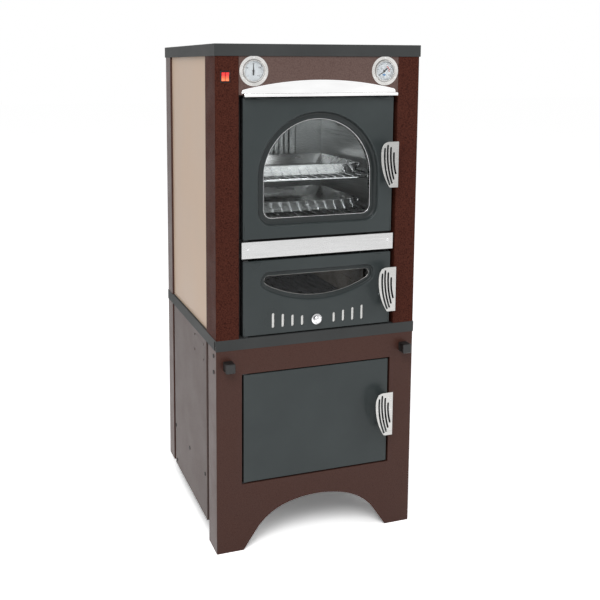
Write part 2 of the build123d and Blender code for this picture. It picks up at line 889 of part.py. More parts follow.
def hinge_pins():
    """Pins at the top and bottom of each door, in lugs that reach forward from the frame."""
    pieces = []
    upper = [(hinge_x(), pin_y, oven_door_bottom, oven_door_top),
             (hinge_x(), pin_y, fire_door_bottom, fire_door_bottom + fire_door_height)]
    for x, y, z0, z1 in upper:
        pieces.extend(hinge_pair(x, y, z0, z1, frame_setback))
    base_low = base_opening_bottom + 4
    base_high = base_opening_bottom + base_opening_height - 4
    pieces.extend(hinge_pair(base_hinge_x(), base_pin_y, base_low, base_high, 0))
    return group(pieces)


def hinge_pair(x, y, z0, z1, lug_end):
    """One pin at each end of a door, each with a flat head or a lug in the gap."""
    gap = 0.6
    pair = []
    for face, sign in ((z0, -1), (z1, 1)):
        near = face + sign * gap
        pin_start = face - sign * (pin_length - 3)
        low, high = sorted((pin_start, near + sign * 2.2))
        pin = rod_z(pin_radius, low, high, x, y)
        head_low, head_high = sorted((near, near + sign * 2.2))
        if lug_end:
            lug = block(x - 7, x + 7, y - 8, lug_end, head_low, head_high)
        else:
            lug = block(-base_opening_width / 2, x + 7, y - 4.5, y + 5, head_low, head_high)
        pair.append(pin + lug)
    return pair


# Oven unit shell

def front_post(side):
    """Folded post: outer flange, front face, and an inner return that meets the black frame."""
    edge = -half_width + panel_recess
    section = folded([(edge, post_side), (-half_width, post_side), (-half_width, 0),
                      (-inner_half, 0), (-inner_half, frame_setback)])
    post = up_prism(section, shelf_top, shell_top)
    if side > 0:
        post = mirror(post, about=Plane.YZ)
        return post
    x = -switch_offset
    hole = rounded(switch_width - 3, switch_height - 3, 1, x, switch_z)
    return post - front_prism(hole, -1, 5)


def header_panel():
    """Panel between the posts, folded back at the top and bottom, with the gauges' holes."""
    front = header_recess
    back = frame_setback
    section = folded([(back, shell_top), (front, shell_top), (front, header_bottom),
                      (back, header_bottom)])
    panel = side_prism(section, -inner_half, inner_half)
    for x in (-gauge_offset, gauge_offset):
        panel = panel - rod_y(gauge_dial_radius + 3.5, -1, frame_setback - 5, x, gauge_z)
        for hx, hz in gauge_screw_places(x):
            panel = panel - rod_y(flange_screw_hole, -1, front + 2 * sheet, hx, hz)
    return panel


def side_panel():
    """Enamelled side panel, let in behind the posts, with its edges folded inwards."""
    x = -half_width + panel_recess
    front = post_side - 18
    back = rear_post_front + 20
    edge = x + panel_return
    section = folded([(edge, back), (x, back), (x, front), (edge, front)])
    return up_prism(section, shelf_top, shell_top)


def back_panel():
    x = half_width - sheet - 1
    y = body_depth - sheet
    section = folded([(x, y - 16), (x, y), (-x, y), (-x, y - 16)])
    panel = up_prism(section, shelf_top, shell_top)
    panel = panel - rod_y(flue_radius + flue_clearance, y - 5, y + 5, 0, flue_z)
    # Cooling louvres round the fan motor
    louvre = SlotOverall(120, 6)
    for row in range(9):
        z = fan_z - 150 - row * 16
        for x0 in (-90, 90):
            panel = panel - front_prism(Pos(x0, z) * louvre, y - 4, y + 2)
    return panel


def top_slab():
    side = half_width + slab_overhang
    front = -slab_overhang
    back = body_depth + slab_overhang
    slab = block(-side, side, front, back, slab_bottom, total_height)
    slab = fillet(slab.faces().sort_by(Axis.Z)[-1].edges(), 1.5)
    return slab - block(-side + sheet, side - sheet, front + sheet, back - sheet, 0, total_height - sheet)


# Oven core

def oven_front_frame():
    """Black plate behind the doors, with the oven opening and the firebox opening."""
    wide = 2 * (half_width - panel_recess - sheet - 1)
    low = shelf_top
    high = slab_bottom - sheet
    plate = front_prism(rounded(wide, high - low, 1, 0, (low + high) / 2), frame_setback, frame_back)
    oven = rounded(cavity_width, cavity_height, cavity_corner, 0, (cavity_bottom + cavity_top) / 2)
    plate = plate - front_prism(oven, frame_setback - 1, frame_back + 1)
    fire_height = fire_opening_top - fire_opening_bottom
    fire_z = (fire_opening_top + fire_opening_bottom) / 2
    fire = rounded(2 * fire_opening_half, fire_height, 6, 0, fire_z)
    plate = plate - front_prism(fire, frame_setback - 1, frame_back + 1)
    for x in (-gauge_offset, gauge_offset):
        plate = plate - rod_y(9, frame_setback - 1, frame_back + 1, x, gauge_z)
    return plate


def oven_cavity():
    """Stainless muffle: round-cornered box with a front flange, holes for the shaft and the lamp."""
    centre = (cavity_bottom + cavity_top) / 2
    skin = 2 * cavity_sheet
    inner = rounded(cavity_width, cavity_height, cavity_corner, 0, centre)
    outer = rounded(cavity_width + skin, cavity_height + skin, cavity_corner + cavity_sheet, 0, centre)
    rim = rounded(cavity_width + 2 * cavity_flange, cavity_height + 2 * cavity_flange, 20, 0, centre)
    box = front_prism(outer, frame_back, cavity_back + cavity_sheet)
    box = box + front_prism(rim, frame_back, frame_back + cavity_sheet)
    box = box - front_prism(inner, frame_back - 1, cavity_back)
    box = box - rod_y(shaft_radius + 3, cavity_back - 5, cavity_back + 5, 0, fan_z)
    wall = cavity_width / 2
    return box - rod_x(lamp_radius - 6, wall - 5, wall + 5, lamp_y, lamp_z)


def smoke_jacket():
    """Hood of sheet over the cavity; the smoke rises between the two and leaves by the flue."""
    outer = block(-jacket_half - jacket_sheet, jacket_half + jacket_sheet, frame_back,
                  jacket_back + jacket_sheet, jacket_bottom, jacket_top + jacket_sheet)
    inner = block(-jacket_half, jacket_half, frame_back - 1, jacket_back, jacket_bottom - 1, jacket_top)
    jacket = outer - inner
    pipe = rod_y(flue_radius, jacket_back, body_depth + flue_length, 0, flue_z)
    bore = rod_y(flue_radius - flue_wall, jacket_back - 5, body_depth + flue_length + 5, 0, flue_z)
    sleeve = rod_y(shaft_radius + 7, cavity_back + cavity_sheet, jacket_back + jacket_sheet, 0, fan_z)
    lamp_tube = rod_x(lamp_radius, cavity_width / 2 + cavity_sheet, jacket_half + jacket_sheet,
                      lamp_y, lamp_z)
    bead = rod_y(flue_radius + flue_clearance, body_depth + flue_bead_start,
                 body_depth + flue_bead_start + flue_bead, 0, flue_z)
    jacket = jacket + pipe + bead + sleeve + lamp_tube
    jacket = jacket - bore
    jacket = jacket - rod_y(shaft_radius + 3, cavity_back, jacket_back + 10, 0, fan_z)
    return jacket - rod_x(lamp_radius - 6, 0, jacket_half + 10, lamp_y, lamp_z)


def insulation():
    """Slabs of mineral wool round the jacket: left, right, top and back."""
    gap = contact_gap
    in_x = jacket_half + jacket_sheet + gap
    out_x = half_width - panel_recess - panel_return
    back = jacket_back + jacket_sheet + gap
    end = body_depth - 2 * sheet - 20
    low = shelf_top + 20
    top = jacket_top + jacket_sheet + gap
    high = slab_bottom - 6
    left = block(-out_x, -in_x, post_side + 10, end, low, high)
    right = block(in_x, out_x, post_side + 10, end, low, high)
    right = right - rod_x(lamp_radius + 6, 0, out_x + 5, lamp_y, lamp_z)
    roof = block(-in_x + gap, in_x - gap, gauge_case_depth + 75, end, top, high)
    rear = block(-in_x + gap, in_x - gap, back, end, low, top - gap)
    rear = rear - rod_y(flue_radius + 4, back - 5, end + 5, 0, flue_z)
    rear = rear - rod_y(motor_radius + 9, back - 5, end + 5, 0, fan_z)
    return group(left, right, roof, rear)


def runner_x():
    return cavity_width / 2


def shelf_runners():
    """Pressed side racks: a thin sheet on each wall with level ribs that the shelves slide on."""
    wall = -runner_x()
    y0 = frame_back + 20
    y1 = cavity_back - 12
    ribs = []
    low = cavity_bottom + 14
    sheet_part = block(wall, wall + runner_sheet, y0, y1, low, cavity_top - 30)
    for shelf_z in (lower_shelf_z, upper_shelf_z, upper_shelf_z + lower_pitch()):
        for z in (shelf_z - shelf_wire, shelf_z + shelf_wire + rib_room):
            ribs.append(block(wall, wall + runner_rib, y0, y1, z - rib_thickness, z))
    rack = sheet_part
    for rib in ribs:
        rack = rack + rib
    rack = rack - rod_x(lamp_radius + 3, wall - 1, wall + runner_rib + 1, lamp_y, lamp_z)
    return group(both_sides(rack))


def lower_pitch():
    return upper_shelf_z - lower_shelf_z


def shelf_half():
    return runner_x() - runner_sheet - shelf_gap - shelf_wire


def wire_shelf(z):
    """Round wire frame with cross wires welded on top, running front to back."""
    half = shelf_half()
    back = shelf_front + shelf_depth
    middle = (shelf_front + back) / 2
    with BuildSketch(Plane.XY.offset(z)) as outline:
        with Locations((0, middle)):
            RectangleRounded(2 * half, shelf_depth, wire_bend)
    path = outline.sketch.faces()[0].outer_wire()
    start = path @ 0
    frame = sweep(Plane(start, z_dir=path % 0) * Circle(shelf_wire), path)
    frame = frame + rod_x(shelf_wire, -half + 0.5, half - 0.5, middle, z)
    first = -wire_pitch * (cross_count - 1) / 2
    lift = z + shelf_wire + cross_wire - 0.8
    wires = []
    for number in range(cross_count):
        x = first + number * wire_pitch
        if abs(x) < half - shelf_wire:
            wires.append(rod_y(cross_wire, shelf_front - 1, back + 1, x, lift))
    return frame + wires


def baking_tray(z):
    """Shallow folded tray with sides that lean outwards."""
    y0 = tray_front
    y1 = tray_front + tray_depth
    middle = (y0 + y1) / 2

    def shell(inset, low, high):
        flare = tray_flare / 2
        bottom = Pos(0, middle, low) * Rectangle(2 * (tray_half_bottom - inset), tray_depth - 2 * inset)
        top_w = 2 * (tray_half_bottom + tray_flare - inset)
        top_d = tray_depth + 2 * flare - 2 * inset
        top = Pos(0, middle, high) * Rectangle(top_w, top_d)
        return loft([bottom.faces()[0], top.faces()[0]], ruled=True)

    return shell(0, z, z + tray_height) - shell(tray_sheet, z + tray_sheet, z + tray_height + 0.02)


def tray_level(shelf_z):
    return shelf_z + shelf_wire + 2 * cross_wire - 0.8


def fan_guard():
    """Box cover with tall slots between its flutes, fixed to the cavity's back wall."""
    front = cavity_back - guard_depth
    outer = front_prism(rounded(guard_width, guard_height, 8, 0, fan_z), front, cavity_back)
    outer = chamfer(outer.faces().sort_by(Axis.Y)[0].edges(), 6)
    inner = rounded(guard_width - 2 * guard_sheet, guard_height - 2 * guard_sheet, 7, 0, fan_z)
    cover = outer - front_prism(inner, front + 6 + guard_sheet, cavity_back + 1)
    core = rounded(guard_width - 16, guard_height - 16, 4, 0, fan_z)
    cover = cover - front_prism(core, front + guard_sheet, cavity_back)
    slot = SlotOverall(guard_height - 50, 7, rotation=90)
    for number in range(-4, 5):
        cover = cover - front_prism(Pos(number * 18, fan_z) * slot, front - 1, front + 4)
    return cover


def fan_impeller():
    """Backing disc with flat radial blades on the motor's shaft."""
    back = cavity_back - 6
    disc = rod_y(fan_radius, back - 1.5, back, 0, fan_z)
    hub = rod_y(10, back - fan_depth + 4, back, 0, fan_z)
    shaft = rod_y(shaft_radius, back - fan_depth, jacket_back + jacket_sheet + 12, 0, fan_z)
    fan = disc + hub + shaft
    for number in range(blade_count):
        angle = 360 / blade_count * number
        blade = block(9, fan_radius - 1, back - fan_depth + 2, back - 1, -0.7, 0.7)
        fan = fan + Pos(0, 0, fan_z) * Rot(0, angle, 0) * blade
    return fan


def fan_motor():
    front = jacket_back + jacket_sheet
    flange = front_prism(rounded(70, 70, 10, 0, fan_z), front, front + 3)
    body = rod_y(motor_radius - 6, front + 3, front + motor_length, 0, fan_z)
    body = fillet(body.edges().filter_by(GeomType.CIRCLE).sort_by(Axis.Y)[-1], 5)
    fins = rod_y(motor_radius, front + 12, front + 32, 0, fan_z)
    motor = flange + body + fins
    return motor - rod_y(shaft_radius + running_gap, front - 1, front + 14, 0, fan_z)


def oven_lamp():
    """Ceramic holder behind the wall and a glass cap inside the cavity."""
    wall = cavity_width / 2
    flange = rod_x(lamp_radius, wall - 4, wall, lamp_y, lamp_z)
    body = rod_x(lamp_radius - 6 - contact_gap, wall, jacket_half + jacket_sheet + 18, lamp_y, lamp_z)
    cap = Pos(wall - 4, lamp_y, lamp_z) * Rot(0, -90, 0) * Cone(lamp_radius - 3, lamp_radius - 9, 12,
                                                                align=(Align.CENTER, Align.CENTER, Align.MIN))
    cap = fillet(cap.edges().filter_by(GeomType.CIRCLE).sort_by(Axis.X)[0], 4)
    return flange + body + cap


# Firebox

def firebox_shell():
    """Welded box open at the front; its roof plate carries the jacket and has a smoke gap at each side."""
    out = fire_half_width + fire_sheet
    back = frame_back + fire_depth
    top = jacket_bottom
    box = block(-out, out, frame_back, back + fire_sheet, fire_bottom - fire_sheet, top)
    box = box - block(-fire_half_width, fire_half_width, frame_back - 1, back, fire_bottom, top - fire_sheet)
    wide = jacket_half + jacket_sheet
    roof = block(-wide, wide, frame_back, jacket_back + jacket_sheet, top - fire_sheet, top)
    skirt = block(-wide, wide, frame_back, jacket_back + jacket_sheet, top - 60, top)
    skirt = skirt - block(-wide + fire_sheet, wide - fire_sheet, frame_back - 1,
                          jacket_back + jacket_sheet - fire_sheet, top - 61, top + 1)
    floor = block(-wide, wide, frame_back, jacket_back + jacket_sheet, top - 60, top - 60 + fire_sheet)
    box = box + roof + skirt + floor
    box = box - block(-fire_half_width, fire_half_width, frame_back - 1, back, fire_bottom, top - fire_sheet)
    gap = block(out + 8, wide - 8, frame_back + 60, jacket_back - 40, top - fire_sheet - 1, top + 1)
    window = block(fire_half_width - 1, out + 1, back - fire_port_front, back - fire_port_back,
                   top - 48, top - 12)
    box = box - gap - mirror(gap, about=Plane.YZ) - window - mirror(window, about=Plane.YZ)
    feet = block(-out, out, frame_back + 40, frame_back + 60, shelf_top, fire_bottom - fire_sheet)
    return box + feet + Pos(0, fire_depth - 100, 0) * feet


def firebricks():
    """Running-bond lining: two bricks a course on each side and at the back, with open joints."""
    bricks = []
    low = grate_z
    x0 = fire_half_width - contact_gap
    x1 = x0 - brick_thickness
    y0 = frame_back + 8
    y1 = frame_back + fire_depth - contact_gap
    courses = 3
    for course in range(courses):
        z0 = low + course * (brick_course + brick_joint)
        z1 = z0 + brick_course
        split = y0 + (y1 - y0) * (0.42 if course % 2 else 0.62)
        side = [block(x1, x0, y0, split - brick_joint, z0, z1), block(x1, x0, split, y1, z0, z1)]
        for brick in side:
            bricks.extend(both_sides(brick))
        middle = x1 * (0.25 if course % 2 else -0.25)
        back0 = y1 - brick_thickness
        inner = x1 - brick_joint
        bricks.append(block(-inner, middle - brick_joint, back0, y1, z0, z1))
        bricks.append(block(middle, inner, back0, y1, z0, z1))
    return group(bricks)


def brick_ledge():
    """Angles inside the firebox that carry the bricks and the grate."""
    wall = -fire_half_width
    ledge = block(wall, wall + brick_thickness + 16, frame_back + 8, frame_back + fire_depth,
                  grate_z - grate_thickness - 3, grate_z - grate_thickness)
    riser = block(wall, wall + brick_thickness, frame_back + 8, frame_back + fire_depth,
                  grate_z - grate_thickness - 1, grate_z)
    return both_sides(ledge + riser)


def grate_half():
    return fire_half_width - brick_thickness - 2


def fire_grate():
    """Cast grate with tapered bars: long slots between two cross members."""
    half = grate_half()
    y0 = frame_back + 12
    y1 = frame_back + fire_depth - brick_thickness - 6
    grate = block(-half, half, y0, y1, grate_z - grate_thickness, grate_z)
    grate = fillet(grate.edges().filter_by(Axis.Z), 6)
    pitch = 2 * (half - 14) / grate_slots
    middle = (y0 + y1) / 2
    slot_length = (y1 - y0) / 2 - 24
    for number in range(grate_slots):
        x = -half + 14 + pitch * (number + 0.5)
        for y in (middle - slot_length / 2 - 8, middle + slot_length / 2 + 8):
            foot = Pos(x, y, grate_z - grate_thickness - 1)
            low = foot * SlotOverall(slot_length, pitch * 0.62, rotation=90)
            high = Pos(x, y, grate_z + 1) * SlotOverall(slot_length, pitch * 0.42, rotation=90)
            grate = grate - loft([low.faces()[0], high.faces()[0]], ruled=True)
    return grate


def ash_pan():
    """Open tray under the grate with a folded pull along its front."""
    half = grate_half() - 20
    y0 = frame_back + 18
    y1 = frame_back + fire_depth - 60
    low = fire_bottom
    high = low + ash_height
    pan = block(-half, half, y0, y1, low, high)
    pan = fillet(pan.edges().filter_by(Axis.Z), 8)
    hollow = block(-half + sheet, half - sheet, y0 + sheet, y1 - sheet, low + sheet, high + 1)
    pan = pan - fillet(hollow.edges().filter_by(Axis.Z), 6)
    pull = block(-50, 50, y0 - 12, y0 + 1, low + 20, low + 20 + sheet)
    pull = fillet(pull.edges().filter_by(Axis.Z).group_by(Axis.Y)[0], 6)
    return pan + pull


# Trim, gauges and switch

def hood():
    """Arched stainless plate over the oven door with a lip that is bent forward and down."""
    low = header_bottom + 4
    top = low + hood_rise
    centre = top - hood_radius
    end_z = centre + (hood_radius ** 2 - hood_half ** 2) ** 0.5
    with BuildSketch() as face:
        with BuildLine():
            sill = Line((-hood_half, low), (hood_half, low))
            Line(sill @ 1, (hood_half, end_z))
            arc = ThreePointArc((hood_half, end_z), (0, top), (-hood_half, end_z))
            Line(arc @ 1, sill @ 0)
        make_face()
        fillet(face.vertices().sort_by(Axis.Y)[2:], min(hood_shoulder, (end_z - low) * 0.85))
    back = header_recess
    plate = front_prism(face.sketch, back - hood_sheet, back)
    front = back - hood_sheet
    section = folded([(front - hood_lip, low - hood_nose), (front - hood_lip, low), (back, low)],
                     hood_sheet, 2.5)
    lip = side_prism(section, -hood_half + 2, hood_half - 2)
    return plate + lip


def trim_strip():
    """Bare stainless channel between the two doors, folded back to the frame."""
    front = -strip_proud
    face = block(-strip_half, strip_half, front, front + sheet, strip_bottom, strip_top)
    face = fillet(face.edges().filter_by(Axis.Y), 1)
    inner = strip_half - 6
    web = block(-inner, inner, front + sheet, frame_setback, strip_bottom + 6, strip_top - 6)
    web = web - block(-inner - 1, inner + 1, front + sheet - 1, frame_setback + 1,
                      strip_bottom + 6 + sheet, strip_top - 6 - sheet)
    strip = face + web
    for x in rivet_places():
        strip = strip - rod_y(2.5, front - 1, front + sheet + 1, x, (strip_bottom + strip_top) / 2 + 4)
    return strip


def rivet_places():
    return (-strip_half + 18, strip_half - 17)


def gauge_screw_places(x):
    places = []
    for angle in (90, 210, 330):
        turn = radians(angle)
        places.append((x + flange_screw_ring * cos(turn), gauge_z + flange_screw_ring * sin(turn)))
    return places


def gauge_case(x):
    """Round can pressed with a wide front flange, a raised bezel and a stem into the oven."""
    back = header_recess
    with BuildSketch() as section:
        with BuildLine():
            outer = Polyline((gauge_dial_radius - 1, -3.5), (gauge_dial_radius + 2.5, -3.5),
                             (gauge_dial_radius + 4, -flange_sheet), (gauge_flange_radius, -flange_sheet),
                             (gauge_flange_radius, 0), (gauge_dial_radius + 3, 0),
                             (gauge_dial_radius + 3, gauge_case_depth), (0, gauge_case_depth),
                             (0, gauge_case_depth - 1.5), (gauge_dial_radius, gauge_case_depth - 1.5),
                             (gauge_dial_radius, -2), (gauge_dial_radius - 1, -2))
            Line(outer @ 1, outer @ 0)
        make_face()
    can = revolve(Plane.XZ * section.sketch, Axis.Z)
    can = Pos(x, back, gauge_z) * Rot(-90, 0, 0) * can
    for hx, hz in gauge_screw_places(x):
        can = can - rod_y(flange_screw_hole, back - 3, back + 1, hx, hz)
    stem = rod_y(4, back + gauge_case_depth, frame_back + 40, x, gauge_z)
    return can + stem


def gauge_dial(x):
    plate = rod_y(gauge_dial_radius - contact_gap, header_recess + 5, header_recess + 6, x, gauge_z)
    stem = rod_y(3, header_recess + 6, header_recess + gauge_case_depth - 1.5, x, gauge_z)
    return plate + stem - rod_y(1.2, header_recess, header_recess + 12, x, gauge_z)


def gauge_glass(x):
    return rod_y(gauge_dial_radius - contact_gap, header_recess - 2, header_recess, x, gauge_z)


def gauge_needle(x, angle):
    """Tapered pointer with a short tail, a boss and its arbor."""
    y = header_recess + 2.6
    with BuildSketch() as outline:
        with BuildLine():
            Polyline((-1.3, -8), (1.3, -8), (1.0, 0), (0.35, needle_length), (-0.35, needle_length),
                     (-1.0, 0), (-1.3, -8))
        make_face()
    hand = front_prism(Rot(0, 0, angle) * outline.sketch, y, y + 0.7)
    hand = Pos(x, 0, gauge_z) * hand
    boss = rod_y(3, y - 0.8, y + 0.8, x, gauge_z)
    arbor = rod_y(1.2 - running_gap, y, header_recess + 11.5, x, gauge_z)
    return hand + boss + arbor


def switch_housing():
    """Frame of the double rocker, snapped into the left post, with its body behind."""
    x = -switch_offset
    bezel = front_prism(rounded(switch_width, switch_height, 2, x, switch_z), -2.5, 0)
    bezel = chamfer(bezel.faces().sort_by(Axis.Y)[0].edges(), 1)
    body = front_prism(rounded(switch_width - 3, switch_height - 3, 1, x, switch_z), 0, 24)
    housing = bezel + body
    well = rounded(2 * rocker_width + 2.4, rocker_height + 4, 0.8, x, switch_z)
    housing = housing - front_prism(well, -5, 14)
    half = rocker_height / 2 + 2.5
    rib = block(x - 0.4, x + 0.4, -1.5, 14, switch_z - half, switch_z + half)
    pin = rod_x(1.2, x - rocker_width - 1.2, x + rocker_width + 1.2, 2.5, switch_z)
    return housing + rib + pin


def rocker(side):
    """Rocker with a shallow V face, turning on the pin across the housing."""
    x = -switch_offset + side * (rocker_width / 2 + 0.8)
    half = rocker_height / 2
    with BuildSketch() as section:
        with BuildLine():
            Polyline((-5.5, half), (-0.8, 0), (-2.4, -half), (5, -half + 1),
                     (rocker_depth, -5), (rocker_depth, 5), (2, half), (-5.5, half))
        make_face()
    half_wide = rocker_width / 2 - 0.2
    body = side_prism(Pos(0, switch_z) * section.sketch, x - half_wide, x + half_wide)
    return body - rod_x(1.2 + running_gap, x - rocker_width, x + rocker_width, 2.5, switch_z)


def screws():
    """Black side screws, rivets of the trim strip and the gauges' small screws."""
    heads = []
    outer = -half_width
    flange = [p for p in bar_screw_places() if p[0] < base_flange]
    for y, z in flange + floor_screw_places() + [axle_screw_place]:
        head = rod_x(screw_radius + 2.0, outer - screw_head, outer, y, z)
        shank = rod_x(side_hole_radius - contact_gap, outer, outer + sheet + guide_sheet, y, z)
        heads.extend(both_sides(head + shank))
    for x in rivet_places():
        z = (strip_bottom + strip_top) / 2 + 4
        rivet = rod_y(3.6, -strip_proud - 1.2, -strip_proud, x, z)
        heads.append(rivet + rod_y(2.4, -strip_proud, -strip_proud + sheet + 2, x, z))
    for x in (-gauge_offset, gauge_offset):
        y = header_recess - flange_sheet
        for hx, hz in gauge_screw_places(x):
            shank = rod_y(flange_screw_hole - contact_gap, y, y + flange_sheet + 2 * sheet, hx, hz)
            heads.append(rod_y(2.6, y - 1, y, hx, hz) + shank)
    return group(heads)


def main():
    os.makedirs("parts", exist_ok=True)
    base_half = base_opening_width / 2 - base_door_gap
    oven_mid = oven_door_bottom + oven_door_height / 2 + 4
    fire_mid = fire_door_bottom + fire_door_height / 2 + 4
    base_mid = base_opening_bottom + base_opening_height / 2 + 4

    save(base_front_panel(), "base_front_panel")
    save(group(both_sides(base_side_panel())), "base_side_panels")
    save(rear_posts(), "rear_posts")
    save(base_back_panel(), "base_back_panel")
    save(base_floor(), "base_floor")
    save(mid_shelf(), "mid_shelf")
    save(base_door_panel(), "base_door_panel")
    save(door_handle(base_half, base_mid, door_recess / 2), "base_door_handle")
    save(pull_bar(-bar_offset), "left_pull_bar")
    save(pull_bar(bar_offset), "right_pull_bar")
    save(pull_bar_guides(), "pull_bar_guides")
    save(axle_brackets(), "axle_brackets")
    save(wheel_axle(), "wheel_axle")
    save(wheel(-wheel_offset), "left_wheel")
    save(wheel(wheel_offset), "right_wheel")
    save(screws(), "screws")
    save(hinge_pins(), "hinge_pins")

    save(front_post(-1), "front_left_post")
    save(front_post(1), "front_right_post")
    save(header_panel(), "header_panel")
    save(group(both_sides(side_panel())), "side_panels")
    save(back_panel(), "back_panel")
    save(top_slab(), "top_slab")
    save(hood(), "hood")
    save(trim_strip(), "trim_strip")

    save(oven_front_frame(), "oven_front_frame")
    save(oven_cavity(), "oven_cavity")
    save(smoke_jacket(), "smoke_jacket")
    save(insulation(), "insulation")
    save(shelf_runners(), "shelf_runners")
    save(group(wire_shelf(upper_shelf_z), wire_shelf(lower_shelf_z)), "wire_shelves")
    trays = [baking_tray(tray_level(z)) for z in (upper_shelf_z, lower_shelf_z)]
    save(group(trays), "baking_trays")
    save(fan_guard(), "fan_guard")
    save(fan_impeller(), "fan_impeller")
    save(fan_motor(), "fan_motor")
    save(oven_lamp(), "oven_lamp")

    save(firebox_shell() + brick_ledge(), "firebox_shell")
    save(firebricks(), "firebricks")
    save(fire_grate(), "fire_grate")
    save(ash_pan(), "ash_pan")

    save(oven_door_panel(), "oven_door_panel")
    save(window_glass(window_profile, window_depth), "oven_door_glass")
    save(door_gasket(window_profile, window_depth, cavity_width / 2, cavity_bottom, cavity_top),
         "oven_door_gasket")
    save(oven_door_liner(), "oven_door_liner")
    save(door_handle(door_width / 2, oven_mid, door_recess), "oven_door_handle")

    save(group(fire_door_panel(), slider_rails()), "fire_door_panel")
    save(window_glass(smile_profile, smile_depth), "fire_door_glass")
    save(door_gasket(smile_profile, smile_depth, fire_opening_half, fire_opening_bottom, fire_opening_top),
         "fire_door_gasket")
    save(fire_door_liner(), "fire_door_liner")
    save(door_handle(door_width / 2, fire_mid, door_recess), "fire_door_handle")
    save(air_slider(), "air_slider")
    save(air_knob(), "air_knob")

    save(group(gauge_case(-gauge_offset), gauge_case(gauge_offset)), "gauge_cases")
    save(group(gauge_dial(-gauge_offset), gauge_dial(gauge_offset)), "gauge_dials")
    save(group(gauge_glass(-gauge_offset), gauge_glass(gauge_offset)), "gauge_glasses")
    save(gauge_needle(-gauge_offset, 0), "left_gauge_needle")
    save(gauge_needle(gauge_offset, needle_cold), "right_gauge_needle")
    save(switch_housing(), "switch_housing")
    save(rocker(-1), "left_rocker")
    save(rocker(1), "right_rocker")


main()
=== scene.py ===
import json
import math
import bmesh
import bpy
from mathutils import Matrix, Vector


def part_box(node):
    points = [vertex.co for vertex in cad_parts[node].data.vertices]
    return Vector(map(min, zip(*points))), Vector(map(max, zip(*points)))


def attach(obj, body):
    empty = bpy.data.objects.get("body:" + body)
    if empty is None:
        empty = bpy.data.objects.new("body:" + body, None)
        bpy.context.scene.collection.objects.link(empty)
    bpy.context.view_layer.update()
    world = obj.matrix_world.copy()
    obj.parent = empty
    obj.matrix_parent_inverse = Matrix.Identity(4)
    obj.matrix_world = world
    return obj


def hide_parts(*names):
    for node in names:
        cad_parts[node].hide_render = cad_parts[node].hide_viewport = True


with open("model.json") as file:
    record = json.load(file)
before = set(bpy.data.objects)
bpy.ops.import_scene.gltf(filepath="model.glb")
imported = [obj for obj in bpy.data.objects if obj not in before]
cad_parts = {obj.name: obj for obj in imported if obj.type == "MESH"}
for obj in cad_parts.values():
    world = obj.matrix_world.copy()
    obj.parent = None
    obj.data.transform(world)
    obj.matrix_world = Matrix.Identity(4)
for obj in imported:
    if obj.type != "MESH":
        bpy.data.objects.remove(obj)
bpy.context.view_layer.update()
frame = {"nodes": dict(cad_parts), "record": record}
nodes = frame["nodes"]
print("stage: frame loaded,", len(nodes), "nodes")

# camera, solved from the body's edges in the photograph, with a smaller lens shift than the exact fit
cameraView = {"place": (-0.9698, -2.5795, 1.4403), "yaw": 18.5301, "pitch": 7.2839, "roll": 0.0517,
              "lens": 51.0216, "shift": (0.08, -0.21)}


def makeCamera(values):
    data = bpy.data.cameras.new("viewCamera")
    data.lens = values["lens"]
    data.shift_x, data.shift_y = values["shift"]
    camera = bpy.data.objects.new("viewCamera", data)
    bpy.context.scene.collection.objects.link(camera)
    yaw, pitch, roll = (math.radians(values[k]) for k in ("yaw", "pitch", "roll"))
    ahead = Vector((math.sin(yaw) * math.cos(pitch), math.cos(yaw) * math.cos(pitch), -math.sin(pitch)))
    right = Vector((math.cos(yaw), -math.sin(yaw), 0))
    up = right.cross(ahead)
    rightTurned = right * math.cos(roll) + up * math.sin(roll)
    upTurned = up * math.cos(roll) - right * math.sin(roll)
    turn = Matrix((rightTurned, upTurned, -ahead)).transposed()
    camera.matrix_world = Matrix.Translation(values["place"]) @ turn.to_4x4()
    bpy.context.scene.camera = camera


makeCamera(cameraView)
print("stage: camera made")

# studio: pale floor, even sky, two soft lamps, and a small light in the oven and in the firebox
studio = {"skyStrength": 0.46, "floorSize": 30, "floorColor": (0.70, 0.70, 0.70),
          "floorSeen": (1.9, 1.9, 1.9), "floorGlow": 0.12}
lamps = {"keyLamp": {"place": (-1.5, -3.0, 3.6), "target": (0, 0, 0.8), "power": 88, "size": 1.9},
         "fillLamp": {"place": (3.2, -2.6, 2.2), "target": (0, 0, 0.7), "power": 30, "size": 2.4},
         "ovenLight": {"place": (0, -0.17, 1.320), "target": (0, 0, 0.9), "power": 0.7, "size": 0.15},
         "fireLight": {"place": (0, -0.16, 0.875), "target": (0, 0.05, 0.7), "power": 0.16, "size": 0.12}}


def addNode(tree, kind, links=(), **values):
    made = tree.nodes.new(kind)
    for name, value in values.items():
        if hasattr(made, name):
            setattr(made, name, value)
        else:
            made.inputs[name.replace("_", " ")].default_value = value
    for source, target in links:
        tree.links.new(source, made.inputs[target])
    return made


def softLamp(name, place, target, power, size):
    data = bpy.data.lights.new(name, "AREA")
    data.energy, data.size = power, size
    lamp = bpy.data.objects.new(name, data)
    bpy.context.scene.collection.objects.link(lamp)
    lamp.location = place
    lamp.rotation_euler = (Vector(target) - Vector(place)).to_track_quat("-Z", "Y").to_euler()


def seenRays(tree):
    # 1 for what the camera sees straight, through glass or mirrored, 0 for light that falls on the oven
    path = addNode(tree, "ShaderNodeLightPath")
    straight = addNode(tree, "ShaderNodeMath", operation="MAXIMUM",
                       links=[(path.outputs["Is Camera Ray"], 0), (path.outputs["Is Transmission Ray"], 1)])
    mirrored = addNode(tree, "ShaderNodeMath", operation="MAXIMUM",
                       links=[(straight.outputs[0], 0), (path.outputs["Is Glossy Ray"], 1)])
    return mirrored.outputs[0]


